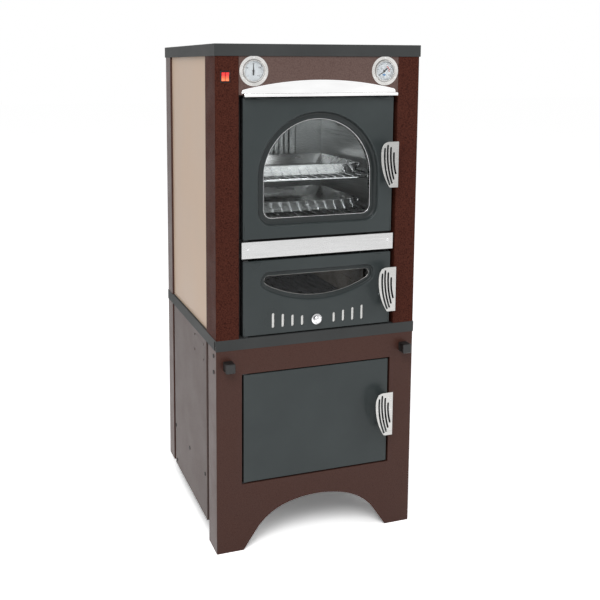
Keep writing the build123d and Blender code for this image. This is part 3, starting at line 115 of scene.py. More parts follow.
def makeSky(values):
    world = bpy.data.worlds.new("studioSky")
    bpy.context.scene.world = world
    world.use_nodes = True
    tree = world.node_tree
    tree.nodes.clear()
    light = addNode(tree, "ShaderNodeBackground", Color=(1, 1, 1, 1), Strength=values["skyStrength"])
    seen = addNode(tree, "ShaderNodeBackground", Color=(1, 1, 1, 1), Strength=1.0)
    both = addNode(tree, "ShaderNodeMixShader",
                   links=[(seenRays(tree), 0), (light.outputs[0], 1), (seen.outputs[0], 2)])
    addNode(tree, "ShaderNodeOutputWorld", links=[(both.outputs[0], 0)])


def makeFloor(values):
    mesh = bpy.data.meshes.new("studioFloor")
    shape = bmesh.new()
    bmesh.ops.create_grid(shape, x_segments=1, y_segments=1, size=values["floorSize"])
    shape.to_mesh(mesh)
    shape.free()
    floor = bpy.data.objects.new("studioFloor", mesh)
    bpy.context.scene.collection.objects.link(floor)
    material = bpy.data.materials.new("floorPaper")
    material.use_nodes = True
    tree = material.node_tree
    tree.nodes.clear()
    matt = addNode(tree, "ShaderNodeBsdfDiffuse", Color=(*values["floorColor"], 1))
    pale = addNode(tree, "ShaderNodeBsdfDiffuse", Color=(*values["floorSeen"], 1))
    glow = addNode(tree, "ShaderNodeEmission", Color=(1, 1, 1, 1), Strength=values["floorGlow"])
    lifted = addNode(tree, "ShaderNodeAddShader", links=[(pale.outputs[0], 0), (glow.outputs[0], 1)])
    both = addNode(tree, "ShaderNodeMixShader",
                   links=[(seenRays(tree), 0), (matt.outputs[0], 1), (lifted.outputs[0], 2)])
    addNode(tree, "ShaderNodeOutputMaterial", links=[(both.outputs[0], 0)])
    mesh.materials.append(material)


makeSky(studio)
for name, values in lamps.items():
    softLamp(name, **values)
makeFloor(studio)
bpy.context.scene.view_settings.view_transform = "Standard"
print("stage: studio made")

# finishes: every one has its own colour change, roughness change and bump
finishes = {
    "hammeredBrown": {"dark": (0.026, 0.006, 0.004), "light": (0.086, 0.025, 0.016), "rough": (0.50, 0.62),
                      "cells": 300, "depth": 0.0007, "specular": 0.06},
    # painted sheen: a lighter copy of the brown for the header panel, standing in for a bright reflection
    "headerBrown": {"dark": (0.095, 0.055, 0.047), "light": (0.140, 0.090, 0.078), "rough": (0.30, 0.44),
                    "cells": 300, "depth": 0.0005, "specular": 0.2},
    "brownPaint": {"dark": (0.046, 0.017, 0.012), "light": (0.076, 0.033, 0.025), "rough": (0.30, 0.38),
                   "cells": 420, "depth": 0.0002, "specular": 0.16},
    # painted light and sheen: a lighter copy of the brown paint for the side panels, standing in for the key
    # light's grazing reflection
    "sidePaint": {"dark": (0.070, 0.046, 0.041), "light": (0.112, 0.080, 0.072), "rough": (0.43, 0.49),
                  "cells": 420, "depth": 0.0002, "specular": 0.2},
    "darkGreyPaint": {"dark": (0.032, 0.040, 0.041), "light": (0.047, 0.057, 0.058), "rough": (0.27, 0.36),
                      "grain": 1500, "depth": 0.00006, "patch": 5, "specular": 0.22},
    # doorPaint is the dark grey paint with painted shade in the window recess, darker with depth
    "doorPaint": {"dark": (0.032, 0.040, 0.041), "light": (0.047, 0.057, 0.058), "rough": (0.27, 0.36),
                  "grain": 1500, "depth": 0.00006, "patch": 5, "specular": 0.22,
                  "smoke": (-0.3075, -0.2985, 0.5)},
    "slabPaint": {"dark": (0.038, 0.040, 0.040), "light": (0.054, 0.057, 0.057), "rough": (0.55, 0.66),
                  "grain": 1300, "depth": 0.00008, "patch": 7, "specular": 0.18},
    "creamEnamel": {"dark": (0.65, 0.475, 0.345), "light": (0.73, 0.54, 0.40), "rough": (0.36, 0.48),
                    "grain": 1100, "depth": 0.00005, "patch": 4},
    "blackPaint": {"dark": (0.010, 0.010, 0.010), "light": (0.022, 0.022, 0.022), "rough": (0.45, 0.62),
                   "grain": 1600, "depth": 0.00007, "patch": 12},
    "blackSteel": {"dark": (0.012, 0.012, 0.013), "light": (0.03, 0.03, 0.032), "rough": (0.38, 0.55),
                   "grain": 1800, "depth": 0.00005, "patch": 30},
    "blackPlastic": {"dark": (0.008, 0.008, 0.008), "light": (0.016, 0.016, 0.016), "rough": (0.36, 0.48),
                     "grain": 2600, "depth": 0.00004, "patch": 40},
    "needlePaint": {"dark": (0.010, 0.010, 0.012), "light": (0.022, 0.022, 0.026), "rough": (0.4, 0.5),
                    "grain": 3000, "depth": 0.00002, "patch": 90},
    "dialWhite": {"dark": (0.66, 0.70, 0.73), "light": (0.80, 0.84, 0.86), "rough": (0.45, 0.55),
                  "grain": 4000, "depth": 0.00001, "patch": 60},
    "dialRed": {"dark": (0.55, 0.03, 0.02), "light": (0.70, 0.05, 0.03), "rough": (0.4, 0.5),
                "grain": 3000, "depth": 0.00001, "patch": 90},
    "dialBlue": {"dark": (0.05, 0.22, 0.50), "light": (0.08, 0.30, 0.62), "rough": (0.4, 0.5),
                 "grain": 3000, "depth": 0.00001, "patch": 90},
    "rubber": {"dark": (0.012, 0.012, 0.012), "light": (0.028, 0.027, 0.026), "rough": (0.6, 0.8),
               "grain": 900, "depth": 0.00012, "patch": 25},
    "castIron": {"dark": (0.020, 0.020, 0.020), "light": (0.060, 0.056, 0.052), "rough": (0.6, 0.82),
                 "grain": 700, "depth": 0.0004, "patch": 35},
    "firebrick": {"dark": (0.20, 0.155, 0.115), "light": (0.46, 0.39, 0.31), "rough": (0.8, 0.95),
                  "grain": 260, "depth": 0.0011, "patch": 16},
    "mineralWool": {"dark": (0.12, 0.105, 0.075), "light": (0.24, 0.22, 0.16), "rough": (0.85, 1.0),
                    "grain": 380, "depth": 0.0015, "patch": 50},
}
# where the values of each pattern mostly lie, and what the paints have in common
patterns = {"noiseBand": (0.3, 0.7), "paintBand": (0.40, 0.95), "streakBand": (0.1, 0.45),
            # the last colour is the painted shade for the door's window recess
            "spotBand": (0.08, 0.42), "cloudScale": 14, "grainShare": 0.35, "soot": (0.008, 0.009, 0.009)}


def startMaterial(name, **sockets):
    material = bpy.data.materials.new(name)
    material.use_nodes = True
    tree = material.node_tree
    tree.nodes.clear()
    shader = addNode(tree, "ShaderNodeBsdfPrincipled")
    for socket, value in sockets.items():
        shader.inputs[socket.replace("_", " ")].default_value = value
    addNode(tree, "ShaderNodeOutputMaterial", links=[(shader.outputs[0], 0)])
    place = addNode(tree, "ShaderNodeTexCoord").outputs["Object"]
    return material, tree, shader, place


def mixedColor(tree, factor, dark, light):
    mix = addNode(tree, "ShaderNodeMix", data_type="RGBA")
    mix.inputs["A"].default_value = (*dark, 1)
    mix.inputs["B"].default_value = (*light, 1)
    tree.links.new(factor, mix.inputs[0])
    return mix.outputs["Result"]


def mapped(tree, source, low, high, start=0.0, end=1.0):
    made = addNode(tree, "ShaderNodeMapRange", links=[(source, "Value")])
    made.inputs["From Min"].default_value, made.inputs["From Max"].default_value = start, end
    made.inputs["To Min"].default_value, made.inputs["To Max"].default_value = low, high
    return made.outputs[0]


def noise(tree, place, scale, detail=3.0):
    return addNode(tree, "ShaderNodeTexNoise", links=[(place, "Vector")],
                   Scale=scale, Detail=detail).outputs[0]


def multiplied(tree, first, second):
    return addNode(tree, "ShaderNodeMath", operation="MULTIPLY", links=[(first, 0), (second, 1)]).outputs[0]


def bumped(tree, shader, height, depth, strength=1.0):
    bump = addNode(tree, "ShaderNodeBump", links=[(height, "Height")], Strength=strength, Distance=depth)
    tree.links.new(bump.outputs[0], shader.inputs["Normal"])


def hammeredFinish(name, values):
    material, tree, shader, place = startMaterial(name, Specular_IOR_Level=values["specular"])
    cells = addNode(tree, "ShaderNodeTexVoronoi", feature="SMOOTH_F1", Scale=values["cells"],
                    links=[(place, "Vector")]).outputs["Distance"]
    fine = noise(tree, place, values["cells"] * 1.7, 2)
    spots = mapped(tree, multiplied(tree, cells, fine), 1, 0, *patterns["spotBand"])
    tree.links.new(mixedColor(tree, spots, values["dark"], values["light"]), shader.inputs["Base Color"])
    cloud = noise(tree, place, patterns["cloudScale"])
    tree.links.new(mapped(tree, cloud, *values["rough"], *patterns["noiseBand"]), shader.inputs["Roughness"])
    bumped(tree, shader, cells, values["depth"], 0.8)
    return material


def paintFinish(name, values):
    material, tree, shader, place = startMaterial(name, Specular_IOR_Level=values.get("specular", 0.4))
    patch = noise(tree, place, values["patch"], 4)
    grain = noise(tree, place, values["grain"], 2)
    factor = addNode(tree, "ShaderNodeMath", operation="MULTIPLY_ADD", links=[(grain, 0), (patch, 2)])
    factor.inputs[1].default_value = patterns["grainShare"]
    tone = mapped(tree, factor.outputs[0], 0, 1, *patterns["paintBand"])
    color = mixedColor(tree, tone, values["dark"], values["light"])
    if "smoke" in values:  # painted shade: the pressed recess round a window is darkened with depth, standing in for the shade inside it
        depth = addNode(tree, "ShaderNodeSeparateXYZ", links=[(place, 0)]).outputs[1]
        start, end, amount = values["smoke"]
        shade = addNode(tree, "ShaderNodeMix", data_type="RGBA",
                        links=[(mapped(tree, depth, 0, amount, start, end), 0)])
        shade.inputs["B"].default_value = (*patterns["soot"], 1)
        tree.links.new(color, shade.inputs["A"])
        color = shade.outputs["Result"]
    tree.links.new(color, shader.inputs["Base Color"])
    tree.links.new(mapped(tree, patch, *values["rough"], *patterns["noiseBand"]), shader.inputs["Roughness"])
    bumped(tree, shader, grain, values["depth"], 0.7)
    return material


# metals: "stretch" draws their brush marks out, as the number of changes to a metre in x, y and z
metals = {
    "stainless": {"dark": (0.34, 0.34, 0.33), "light": (0.48, 0.475, 0.465), "rough": (0.24, 0.38),
                  "stretch": (14, 400, 900), "depth": 0.00003},
    "trimSteel": {"dark": (0.42, 0.42, 0.42), "light": (0.56, 0.56, 0.56), "rough": (0.22, 0.34),
                  "stretch": (8, 500, 1400), "depth": 0.00002},
    "cavitySteel": {"dark": (0.40, 0.41, 0.41), "light": (0.60, 0.61, 0.61), "rough": (0.34, 0.48),
                    "stretch": (120, 12, 300), "depth": 0.00003},
    "polishedStainless": {"dark": (0.90, 0.90, 0.90), "light": (0.97, 0.97, 0.97), "rough": (0.12, 0.24),
                          "stretch": (10, 60, 60), "depth": 0.00001},
    "chrome": {"dark": (0.50, 0.50, 0.51), "light": (0.70, 0.70, 0.71), "rough": (0.05, 0.14),
               "stretch": (60, 60, 60), "depth": 0.00001},
    "traySteel": {"dark": (0.40, 0.40, 0.40), "light": (0.56, 0.56, 0.56), "rough": (0.20, 0.32),
                  "stretch": (10, 60, 60), "depth": 0.00001},
    "gaugeSteel": {"dark": (0.62, 0.61, 0.59), "light": (0.80, 0.79, 0.77), "rough": (0.14, 0.24),
                   "stretch": (30, 30, 30), "depth": 0.00001},
    # painted shade: the bezel's steel is darkened to stand in for the shaded groove between flange and dial
    "bezelSteel": {"dark": (0.10, 0.10, 0.10), "light": (0.30, 0.30, 0.30), "rough": (0.12, 0.24),
                   "stretch": (30, 30, 30), "depth": 0.00001},
    "galvanised": {"dark": (0.36, 0.38, 0.39), "light": (0.62, 0.64, 0.65), "rough": (0.32, 0.5),
                   "stretch": (70, 70, 70), "depth": 0.00003},
}


def metalFinish(name, values):
    material, tree, shader, place = startMaterial(name, Metallic=1.0)
    lines = addNode(tree, "ShaderNodeMapping", links=[(place, "Vector")])
    lines.inputs["Scale"].default_value = values["stretch"]
    streak = noise(tree, lines.outputs[0], 1, 5)
    smudge = noise(tree, place, 9, 3)
    tone = mapped(tree, streak, 0, 1, *patterns["noiseBand"])
    tree.links.new(mixedColor(tree, tone, values["dark"], values["light"]), shader.inputs["Base Color"])
    gloss = mapped(tree, multiplied(tree, streak, smudge), *values["rough"], *patterns["streakBand"])
    tree.links.new(gloss, shader.inputs["Roughness"])
    bumped(tree, shader, streak, values["depth"], 0.5)
    return material


# glass: "smudge" is the most roughness that its cloudy patches reach
clears = {"windowGlass": {"tint": (0.90, 0.93, 0.93), "smudge": 0.04, "ior": 1.2},
          "sootedGlass": {"tint": (0.40, 0.43, 0.46), "smudge": 0.05, "ior": 1.2},
          "gaugeGlass": {"tint": (0.97, 0.98, 0.99), "smudge": 0.02, "ior": 1.45},
          "lampGlass": {"tint": (0.98, 0.94, 0.84), "smudge": 0.4, "ior": 1.45}}


def clearFinish(name, values):
    material, tree, shader, place = startMaterial(name, Transmission_Weight=1.0, IOR=values["ior"])
    cloud = noise(tree, place, 18, 4)
    pale = tuple(min(1.0, c + 0.03) for c in values["tint"])
    tree.links.new(mixedColor(tree, cloud, values["tint"], pale), shader.inputs["Base Color"])
    tree.links.new(mapped(tree, cloud, 0.0, values["smudge"], 0.45, 0.8), shader.inputs["Roughness"])
    bumped(tree, shader, noise(tree, place, 260, 1), 0.000004, 0.2)
    return material


# braided door seal, and the lit rockers: dark red above, light where their lamps sit
ropeSeal = {"dark": (0.012, 0.012, 0.012), "light": (0.05, 0.05, 0.048), "weave": 260, "depth": 0.0007}
rockerLens = {"dark": (0.62, 0.012, 0.012), "light": (1.0, 0.22, 0.09), "glow": 0.65,
              "bottom": 1.397, "top": 1.416}


def ropeFinish(name, values):
    material, tree, shader, place = startMaterial(name)
    strands = [addNode(tree, "ShaderNodeTexWave", bands_direction=way, Scale=values["weave"], Distortion=1.5,
                       links=[(place, "Vector")]).outputs[1] for way in ("DIAGONAL", "Z")]
    weave = multiplied(tree, *strands)
    tree.links.new(mixedColor(tree, weave, values["dark"], values["light"]), shader.inputs["Base Color"])
    tree.links.new(mapped(tree, weave, 0.95, 0.75), shader.inputs["Roughness"])
    bumped(tree, shader, weave, values["depth"])
    return material


def lensFinish(name, values):
    material, tree, shader, place = startMaterial(name, Roughness=0.2, Emission_Strength=values["glow"])
    height = addNode(tree, "ShaderNodeSeparateXYZ", links=[(place, 0)]).outputs[2]
    lower = mapped(tree, height, 1, 0, values["bottom"], values["top"])
    speck = noise(tree, place, 900, 2)
    lit = mapped(tree, multiplied(tree, lower, speck), 0, 1, 0.05, 0.5)
    color = mixedColor(tree, lit, values["dark"], values["light"])
    tree.links.new(color, shader.inputs["Base Color"])
    tree.links.new(color, shader.inputs["Emission Color"])
    tree.links.new(mapped(tree, speck, 0.15, 0.3), shader.inputs["Roughness"])
    bumped(tree, shader, speck, 0.00005)
    return material


# screws: black on the base, bright steel on the oven unit, above the height "from"
screwSteel = {"dark": (0.003, 0.003, 0.003), "light": (0.66, 0.66, 0.66), "from": 0.75, "specular": 0.12}


def screwFinish(name, values):
    material, tree, shader, place = startMaterial(name, Specular_IOR_Level=values["specular"])
    height = addNode(tree, "ShaderNodeSeparateXYZ", links=[(place, 0)]).outputs[2]
    bright = mapped(tree, height, 0, 1, values["from"], values["from"] + 0.01)
    tree.links.new(mixedColor(tree, bright, values["dark"], values["light"]), shader.inputs["Base Color"])
    tree.links.new(bright, shader.inputs["Metallic"])
    grain = noise(tree, place, 1400, 3)
    tree.links.new(mapped(tree, grain, 0.35, 0.55), shader.inputs["Roughness"])
    bumped(tree, shader, grain, 0.00004, 0.6)
    return material


looks = {}
for name, values in finishes.items():
    looks[name] = (hammeredFinish if "cells" in values else paintFinish)(name, values)
for name, values in metals.items():
    looks[name] = metalFinish(name, values)
for name, values in clears.items():
    looks[name] = clearFinish(name, values)
looks["gasketRope"] = ropeFinish("gasketRope", ropeSeal)
looks["screwSteel"] = screwFinish("screwSteel", screwSteel)
looks["redLens"] = lensFinish("redLens", rockerLens)
print("stage:", len(looks), "finishes made")

# the finish of each material slot, and of the nodes that look different from their slot
slotLooks = {
    "hammered_brown": "hammeredBrown", "brown_paint": "brownPaint", "cream_enamel": "creamEnamel",
    "dark_grey_paint": "darkGreyPaint", "black_paint": "blackPaint", "stainless": "stainless",
    "polished_stainless": "polishedStainless", "galvanised_steel": "galvanised", "chrome": "chrome",
    "window_glass": "windowGlass", "gauge_glass": "gaugeGlass", "gasket": "gasketRope", "dial": "dialWhite",
    "needle": "needlePaint", "red_lens": "redLens", "black_plastic": "blackPlastic",
    "firebrick": "firebrick", "cast_iron": "castIron", "mineral_wool": "mineralWool", "rubber": "rubber",
    "black_steel": "blackSteel", "lamp_glass": "lampGlass"}
nodeLooks = {"hinge_pins": "blackSteel", "screws": "screwSteel", "fire_door_glass": "sootedGlass",
             "gauge_cases": "gaugeSteel", "baking_trays": "traySteel", "base_side_panels": "sidePaint",
             "header_panel": "headerBrown", "top_slab": "slabPaint", "mid_shelf": "slabPaint",
             "trim_strip": "trimSteel", "oven_cavity": "cavitySteel", "fan_guard": "cavitySteel",
             "shelf_runners": "cavitySteel"}


def dress(node, material):
    if not node.material_slots:
        node.data.materials.append(material)
    for slot in node.material_slots:
        slot.material = material


for part in frame["record"]["subparts"]:
    name = part["node"]
    dress(nodes[name], looks[nodeLooks.get(name, slotLooks[part["material_slot"]])])
print("stage: CAD nodes dressed")

# folded sheet edges get a small round, in mm, so that they catch the light
edgeRounds = {"top_slab": 0.8, "mid_shelf": 0.8, "base_front_panel": 0.7, "front_right_post": 0.8,
              "hood": 0.5, "trim_strip": 0.3, "base_door_panel": 1.0, "base_side_panels": 0.6,
              "left_pull_bar": 0.8, "right_pull_bar": 0.8, "baking_trays": 0.4, "oven_cavity": 0.8,
              "firebricks": 1.5}
edgeTurn = 38  # degrees, and only sharper edges are rounded


def roundEdges(node, width):
    weld = node.modifiers.new("weld", "WELD")
    weld.merge_threshold = 0.00001
    bevel = node.modifiers.new("round", "BEVEL")
    bevel.width, bevel.segments = width / 1000, 2
    bevel.limit_method, bevel.angle_limit = "ANGLE", math.radians(edgeTurn)
    bevel.use_clamp_overlap = True
    bevel.harden_normals = True


for name, width in edgeRounds.items():
    roundEdges(nodes[name], width)
print("stage: edges rounded")

# dial marks: strokes, numbers and coloured arcs a hair above the dials
dials = {
    "left": {"x": -0.204, "marks": 33, "long": 4, "numbers": ("0", "100", "200", "300", "400"),
             "size": 0.0048},
    "right": {"x": 0.204, "marks": 41, "long": 5, "numbers": ("0", "100", "200", "300", "400", "500"),
              "size": 0.0044}}
dialArcs = {"rightRedArc": {"look": "dialRed", "start": -62, "end": 10, "inner": 0.0150, "outer": 0.0172},
            "rightBlueArc": {"look": "dialBlue", "start": 70, "end": 115, "inner": 0.0090, "outer": 0.0140}}
dialPlace = {"y": -0.3045, "z": 1.4245, "first": -220, "last": 40, "outer": 0.0275, "numberInset": 0.0072,
             "short": 0.0022, "tall": 0.0042, "thin": 0.0003, "thick": 0.0006, "proud": 0.00015,
             "paint": 0.0001}


def newPiece(name, shape, look, body):
    mesh = bpy.data.meshes.new(name)
    bmesh.ops.recalc_face_normals(shape, faces=shape.faces[:])
    shape.to_mesh(mesh)
    shape.free()
    piece = bpy.data.objects.new(name, mesh)
    bpy.context.scene.collection.objects.link(piece)
    mesh.materials.append(looks[look])
    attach(piece, body)
    return piece


def addBlock(shape, size, matrix):
    made = bmesh.ops.create_cube(shape, size=1)
    bmesh.ops.scale(shape, vec=size, verts=made["verts"])
    bmesh.ops.transform(shape, matrix=matrix, verts=made["verts"])


def dialAngle(number, count):
    return math.radians(dialPlace["first"] + (dialPlace["last"] - dialPlace["first"]) * number / (count - 1))


def dialMarks(side, values):
    shape = bmesh.new()
    centre = Matrix.Translation((values["x"], dialPlace["y"] - dialPlace["proud"] / 2, dialPlace["z"]))
    for number in range(values["marks"]):
        isLong = number % values["long"] == 0
        length = dialPlace["tall" if isLong else "short"]
        width = dialPlace["thick" if isLong else "thin"]
        turn = Matrix.Rotation(dialAngle(number, values["marks"]), 4, "Y")
        out = Matrix.Translation((dialPlace["outer"] - length / 2, 0, 0))
        addBlock(shape, (length, dialPlace["proud"], width), centre @ turn @ out)
    newPiece(side + "DialMarks", shape, "needlePaint", "oven_body")


def dialNumbers(side, values):
    shape = bmesh.new()
    reach = dialPlace["outer"] - dialPlace["numberInset"]
    upright = Matrix.Rotation(math.pi / 2, 4, "X")
    for number, word in enumerate(values["numbers"]):
        curve = bpy.data.curves.new("number", "FONT")
        curve.body, curve.size, curve.extrude = word, values["size"], dialPlace["paint"] / 2
        curve.align_x, curve.align_y = "CENTER", "CENTER"
        curve.resolution_u = 2
        holder = bpy.data.objects.new("number", curve)
        mesh = bpy.data.meshes.new_from_object(holder)
        angle = dialAngle(number, len(values["numbers"]))
        x = values["x"] + reach * math.cos(angle)
        z = dialPlace["z"] - reach * math.sin(angle)
        mesh.transform(Matrix.Translation((x, dialPlace["y"] - dialPlace["paint"], z)) @ upright)
        shape.from_mesh(mesh)
        bpy.data.objects.remove(holder)
    newPiece(side + "DialNumbers", shape, "needlePaint", "oven_body")


def dialArc(name, x, values):
    shape = bmesh.new()
    centre = Vector((x, dialPlace["y"], dialPlace["z"]))
    inner, outer, paint = values["inner"], values["outer"], dialPlace["paint"]
    turn = Matrix.Rotation(math.radians(values["start"]), 4, "Y")
    corners = [(inner, -paint), (outer, -paint), (outer, 0.0), (inner, 0.0)]
    verts = [shape.verts.new(turn @ Vector((reach, depth, 0)) + centre) for reach, depth in corners]
    face = shape.faces.new(verts)
    bmesh.ops.spin(shape, geom=[face, *face.edges, *face.verts], cent=centre, axis=(0, 1, 0),
                   angle=math.radians(values["end"] - values["start"]), steps=24)
    newPiece(name, shape, values["look"], "oven_body")


for side, values in dials.items():
    dialMarks(side, values)
    dialNumbers(side, values)
for name, values in dialArcs.items():
    dialArc(name, dials["right"]["x"], values)
print("stage: dials marked")

# outlines from here on are in mm, x across and z up, with depth from the base's front plane
frontPlane = 311  # mm from that plane to the part's middle
cornerLead = 0.293  # how far a round corner's middle stands in from its point, as a share of its radius


def spot(x, depth, z):
    return (x / 1000, (depth - frontPlane) / 1000, z / 1000)


def arcPoints(first, middle, last, steps):
    # circle through three points
    (ax, az), (bx, bz), (cx, cz) = first, middle, last
    d = 2 * (ax * (bz - cz) + bx * (cz - az) + cx * (az - bz))
    a2, b2, c2 = ax * ax + az * az, bx * bx + bz * bz, cx * cx + cz * cz
    ox = (a2 * (bz - cz) + b2 * (cz - az) + c2 * (az - bz)) / d
    oz = (a2 * (cx - bx) + b2 * (ax - cx) + c2 * (bx - ax)) / d
    start, mid, end = (math.atan2(z - oz, x - ox) for x, z in (first, middle, last))
    sweep = (end - start) % math.tau
    if (mid - start) % math.tau > sweep:
        sweep -= math.tau
    radius = math.hypot(ax - ox, az - oz)
    turns = [start + sweep * k / steps for k in range(steps + 1)]
    return [(ox + radius * math.cos(turn), oz + radius * math.sin(turn)) for turn in turns]


def linePoints(first, last, steps):
    (ax, az), (bx, bz) = first, last
    return [(ax + (bx - ax) * k / steps, az + (bz - az) * k / steps) for k in range(steps + 1)]


def bendPoints(first, corner, last, steps):
    # a soft bend that leaves first and reaches last along the lines to corner
    points = []
    for k in range(steps + 1):
        t = k / steps
        points.append(tuple((1 - t) ** 2 * a + 2 * t * (1 - t) * b + t * t * c
                            for a, b, c in zip(first, corner, last)))
    return points


def joinPoints(*runs):
    points = []
    for run in runs:
        points.extend(p for p in run if not points or math.dist(p, points[-1]) > 0.01)
    if math.dist(points[0], points[-1]) < 0.01:
        points.pop()
    return points


def grown(points, grow):
    moved = []
    for k, (x, z) in enumerate(points):
        before, after = points[k - 1], points[(k + 1) % len(points)]
        tx, tz = after[0] - before[0], after[1] - before[1]
        size = math.hypot(tx, tz)
        moved.append((x + grow * tz / size, z - grow * tx / size))
    return moved


def roundCorner(x, z, inX, inZ, radius, steps):
    # inX and inZ, each 1 or -1, point from the corner into the outline, which runs anticlockwise
    lead = radius * cornerLead
    level, upright = (x + inX * radius, z), (x, z + inZ * radius)
    start, end = (level, upright) if inX * inZ < 0 else (upright, level)
    return arcPoints(start, (x + inX * lead, z + inZ * lead), end, steps)


def boxOutline(half, low, high, corner):
    reach, bottom, top = half - corner, low + corner, high - corner
    return joinPoints(roundCorner(half, low, -1, 1, corner, 6),
                      linePoints((half, bottom), (half, top), 8),
                      roundCorner(half, high, -1, -1, corner, 6),
                      linePoints((reach, high), (-reach, high), 8),
                      roundCorner(-half, high, 1, -1, corner, 6),
                      linePoints((-half, top), (-half, bottom), 8),
                      roundCorner(-half, low, 1, 1, corner, 6),
                      linePoints((-reach, low), (reach, low), 8))


def archOutline(values):
    radius, low, centre, corner = (values[k] for k in ("radius", "bottom", "centre", "corner"))
    reach, bottom = radius - corner, low + corner
    return joinPoints(roundCorner(radius, low, -1, 1, corner, 10),
                      linePoints((radius, bottom), (radius, centre), 8),
                      arcPoints((radius, centre), (0, centre + radius), (-radius, centre), 72),
                      linePoints((-radius, centre), (-radius, bottom), 8),
                      roundCorner(-radius, low, 1, 1, corner, 10),
                      linePoints((-reach, low), (reach, low), 16))


def smileOutline(values):
    half, low, high, radius, corner = (values[k] for k in ("half", "bottom", "top", "radius", "corner"))
    centre = low + radius
    side = centre - math.sqrt(radius ** 2 - half ** 2)  # where the smile's arc would meet the sides
    lead = half - values["cheek"]
    near = (lead, centre - math.sqrt(radius ** 2 - lead ** 2))
    far = (-near[0], near[1])
    reach, top, bottom = half - corner, high - corner, side + values["rise"]
    return joinPoints(bendPoints(near, (half, side), (half, bottom), 10),
                      linePoints((half, bottom), (half, top), 2),
                      roundCorner(half, high, -1, -1, corner, 10),
                      linePoints((reach, high), (-reach, high), 20),
                      roundCorner(-half, high, 1, -1, corner, 10),
                      linePoints((-half, top), (-half, bottom), 2),
                      bendPoints((-half, bottom), (-half, side), far, 10),
                      arcPoints(far, (0, low), near, 64))


def capsule(x, low, high, width):
    r = width / 2
    return joinPoints(arcPoints((x + r, high - r), (x, high), (x - r, high - r), 8),
                      arcPoints((x - r, low + r), (x, low), (x + r, low + r), 8))


def addRing(shape, points, depth):
    verts = [shape.verts.new(spot(x, depth, z)) for x, z in points]
    return [shape.edges.new((verts[k - 1], verts[k])) for k in range(len(verts))]


def bridged(shape, rings):
    for first, second in zip(rings, rings[1:]):
        bmesh.ops.bridge_loops(shape, edges=first + second)


def smoothed(piece, angle):
    for face in piece.data.polygons:
        face.use_smooth = True
    piece.data.set_sharp_from_angle(angle=math.radians(angle))
    return piece


# pressed doors: a round-edged pan with a rolled recess down to the glass
# pan and recess are steps of (distance from the outline, depth)
doorSkins = {
    "ovenDoor": {"half": 235.8, "low": 943, "high": 1349, "body": "oven_door", "replaces": "oven_door_panel",
                 "outline": archOutline,
                 "window": {"radius": 169, "bottom": 1000, "centre": 1117.5, "corner": 26},
                 "recess": ((27.0, 2.0), (24.4, 2.0), (22.6, 2.5), (21.2, 3.9), (20.2, 6.0), (19.4, 8.8),
                            (18.2, 11.6), (16.2, 13.8), (13.6, 14.9), (10.6, 15.0), (8.0, 14.3), (6.0, 13.6),
                            (4.2, 13.5), (2.6, 14.2), (1.2, 15.8), (0.2, 17.4), (0.0, 18.3)),
                 "airSlots": 0},
    "fireDoor": {"half": 235.8, "low": 658, "high": 880, "body": "fire_door", "replaces": "fire_door_panel",
                 "outline": smileOutline,
                 "window": {"half": 168, "radius": 340, "bottom": 764, "top": 831, "corner": 12,
                            "cheek": 13, "rise": 8},
                 "recess": ((18.4, 2.0), (16.2, 2.0), (14.8, 2.4), (13.6, 3.5), (12.6, 5.2), (11.6, 7.4),
                            (10.2, 9.2), (8.4, 10.1), (6.6, 9.9), (5.0, 9.2), (3.6, 8.9), (2.2, 9.6),
                            (1.0, 11.2), (0.2, 13.0), (0.0, 14.2)),
                 "airSlots": 4}}
doorPan = {"corner": 3.0, "sheet": 0.0012, "holeDepths": (2.0, 3.8),
           "edge": ((5.0, 2.0), (2.6, 2.0), (1.4, 2.25), (0.5, 2.9), (0.1, 3.9), (0.0, 5.2), (0.0, 28.0))}
airSlots = {"first": 51, "step": 30.6, "low": 676, "high": 706, "rise": 5, "width": 8.4}
knobSlot = {"half": 10, "low": 686.5, "high": 695.5, "corner": 4.4}


def airHoles(pairs):
    # the slots grow taller from the knob outwards, one on each side in turn
    holes = [capsule(side * (airSlots["first"] + airSlots["step"] * n), airSlots["low"],
                     airSlots["high"] + airSlots["rise"] * n, airSlots["width"])
             for n in range(pairs) for side in (-1, 1)]
    return holes + [boxOutline(**knobSlot)] if pairs else []


def doorSkin(name, values):
    shape = bmesh.new()
    window = values["outline"](values["window"])
    outer = boxOutline(values["half"], values["low"], values["high"], doorPan["corner"])
    pan = [addRing(shape, grown(outer, -inset), depth) for inset, depth in doorPan["edge"]]
    recess = [addRing(shape, grown(window, grow), depth) for grow, depth in values["recess"]]
    bridged(shape, pan)
    bridged(shape, recess)
    front = pan[0] + recess[0]
    for hole in airHoles(values["airSlots"]):
        rings = [addRing(shape, hole, depth) for depth in doorPan["holeDepths"]]
        bridged(shape, rings)
        front = front + rings[0]
    bmesh.ops.triangle_fill(shape, use_beauty=True, use_dissolve=False, edges=front, normal=(0, -1, 0))
    bmesh.ops.remove_doubles(shape, verts=shape.verts[:], dist=0.000005)
    piece = newPiece(name + "Skin", shape, "doorPaint", values["body"])
    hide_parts(values["replaces"])
    sheet = piece.modifiers.new("sheet", "SOLIDIFY")
    sheet.thickness, sheet.offset = doorPan["sheet"], -1
    return smoothed(piece, 40)


for name, values in doorSkins.items():
    doorSkin(name, values)
print("stage: door skins pressed")

# bright bead round each window, just in front of the glass
windowBeads = {"ovenDoor": {"grow": 0.2, "depth": 18.2, "wire": 1.2, "sides": 8, "look": "chrome"},
               "fireDoor": {"grow": 0.2, "depth": 14.0, "wire": 0.8, "sides": 8, "look": "stainless"}}


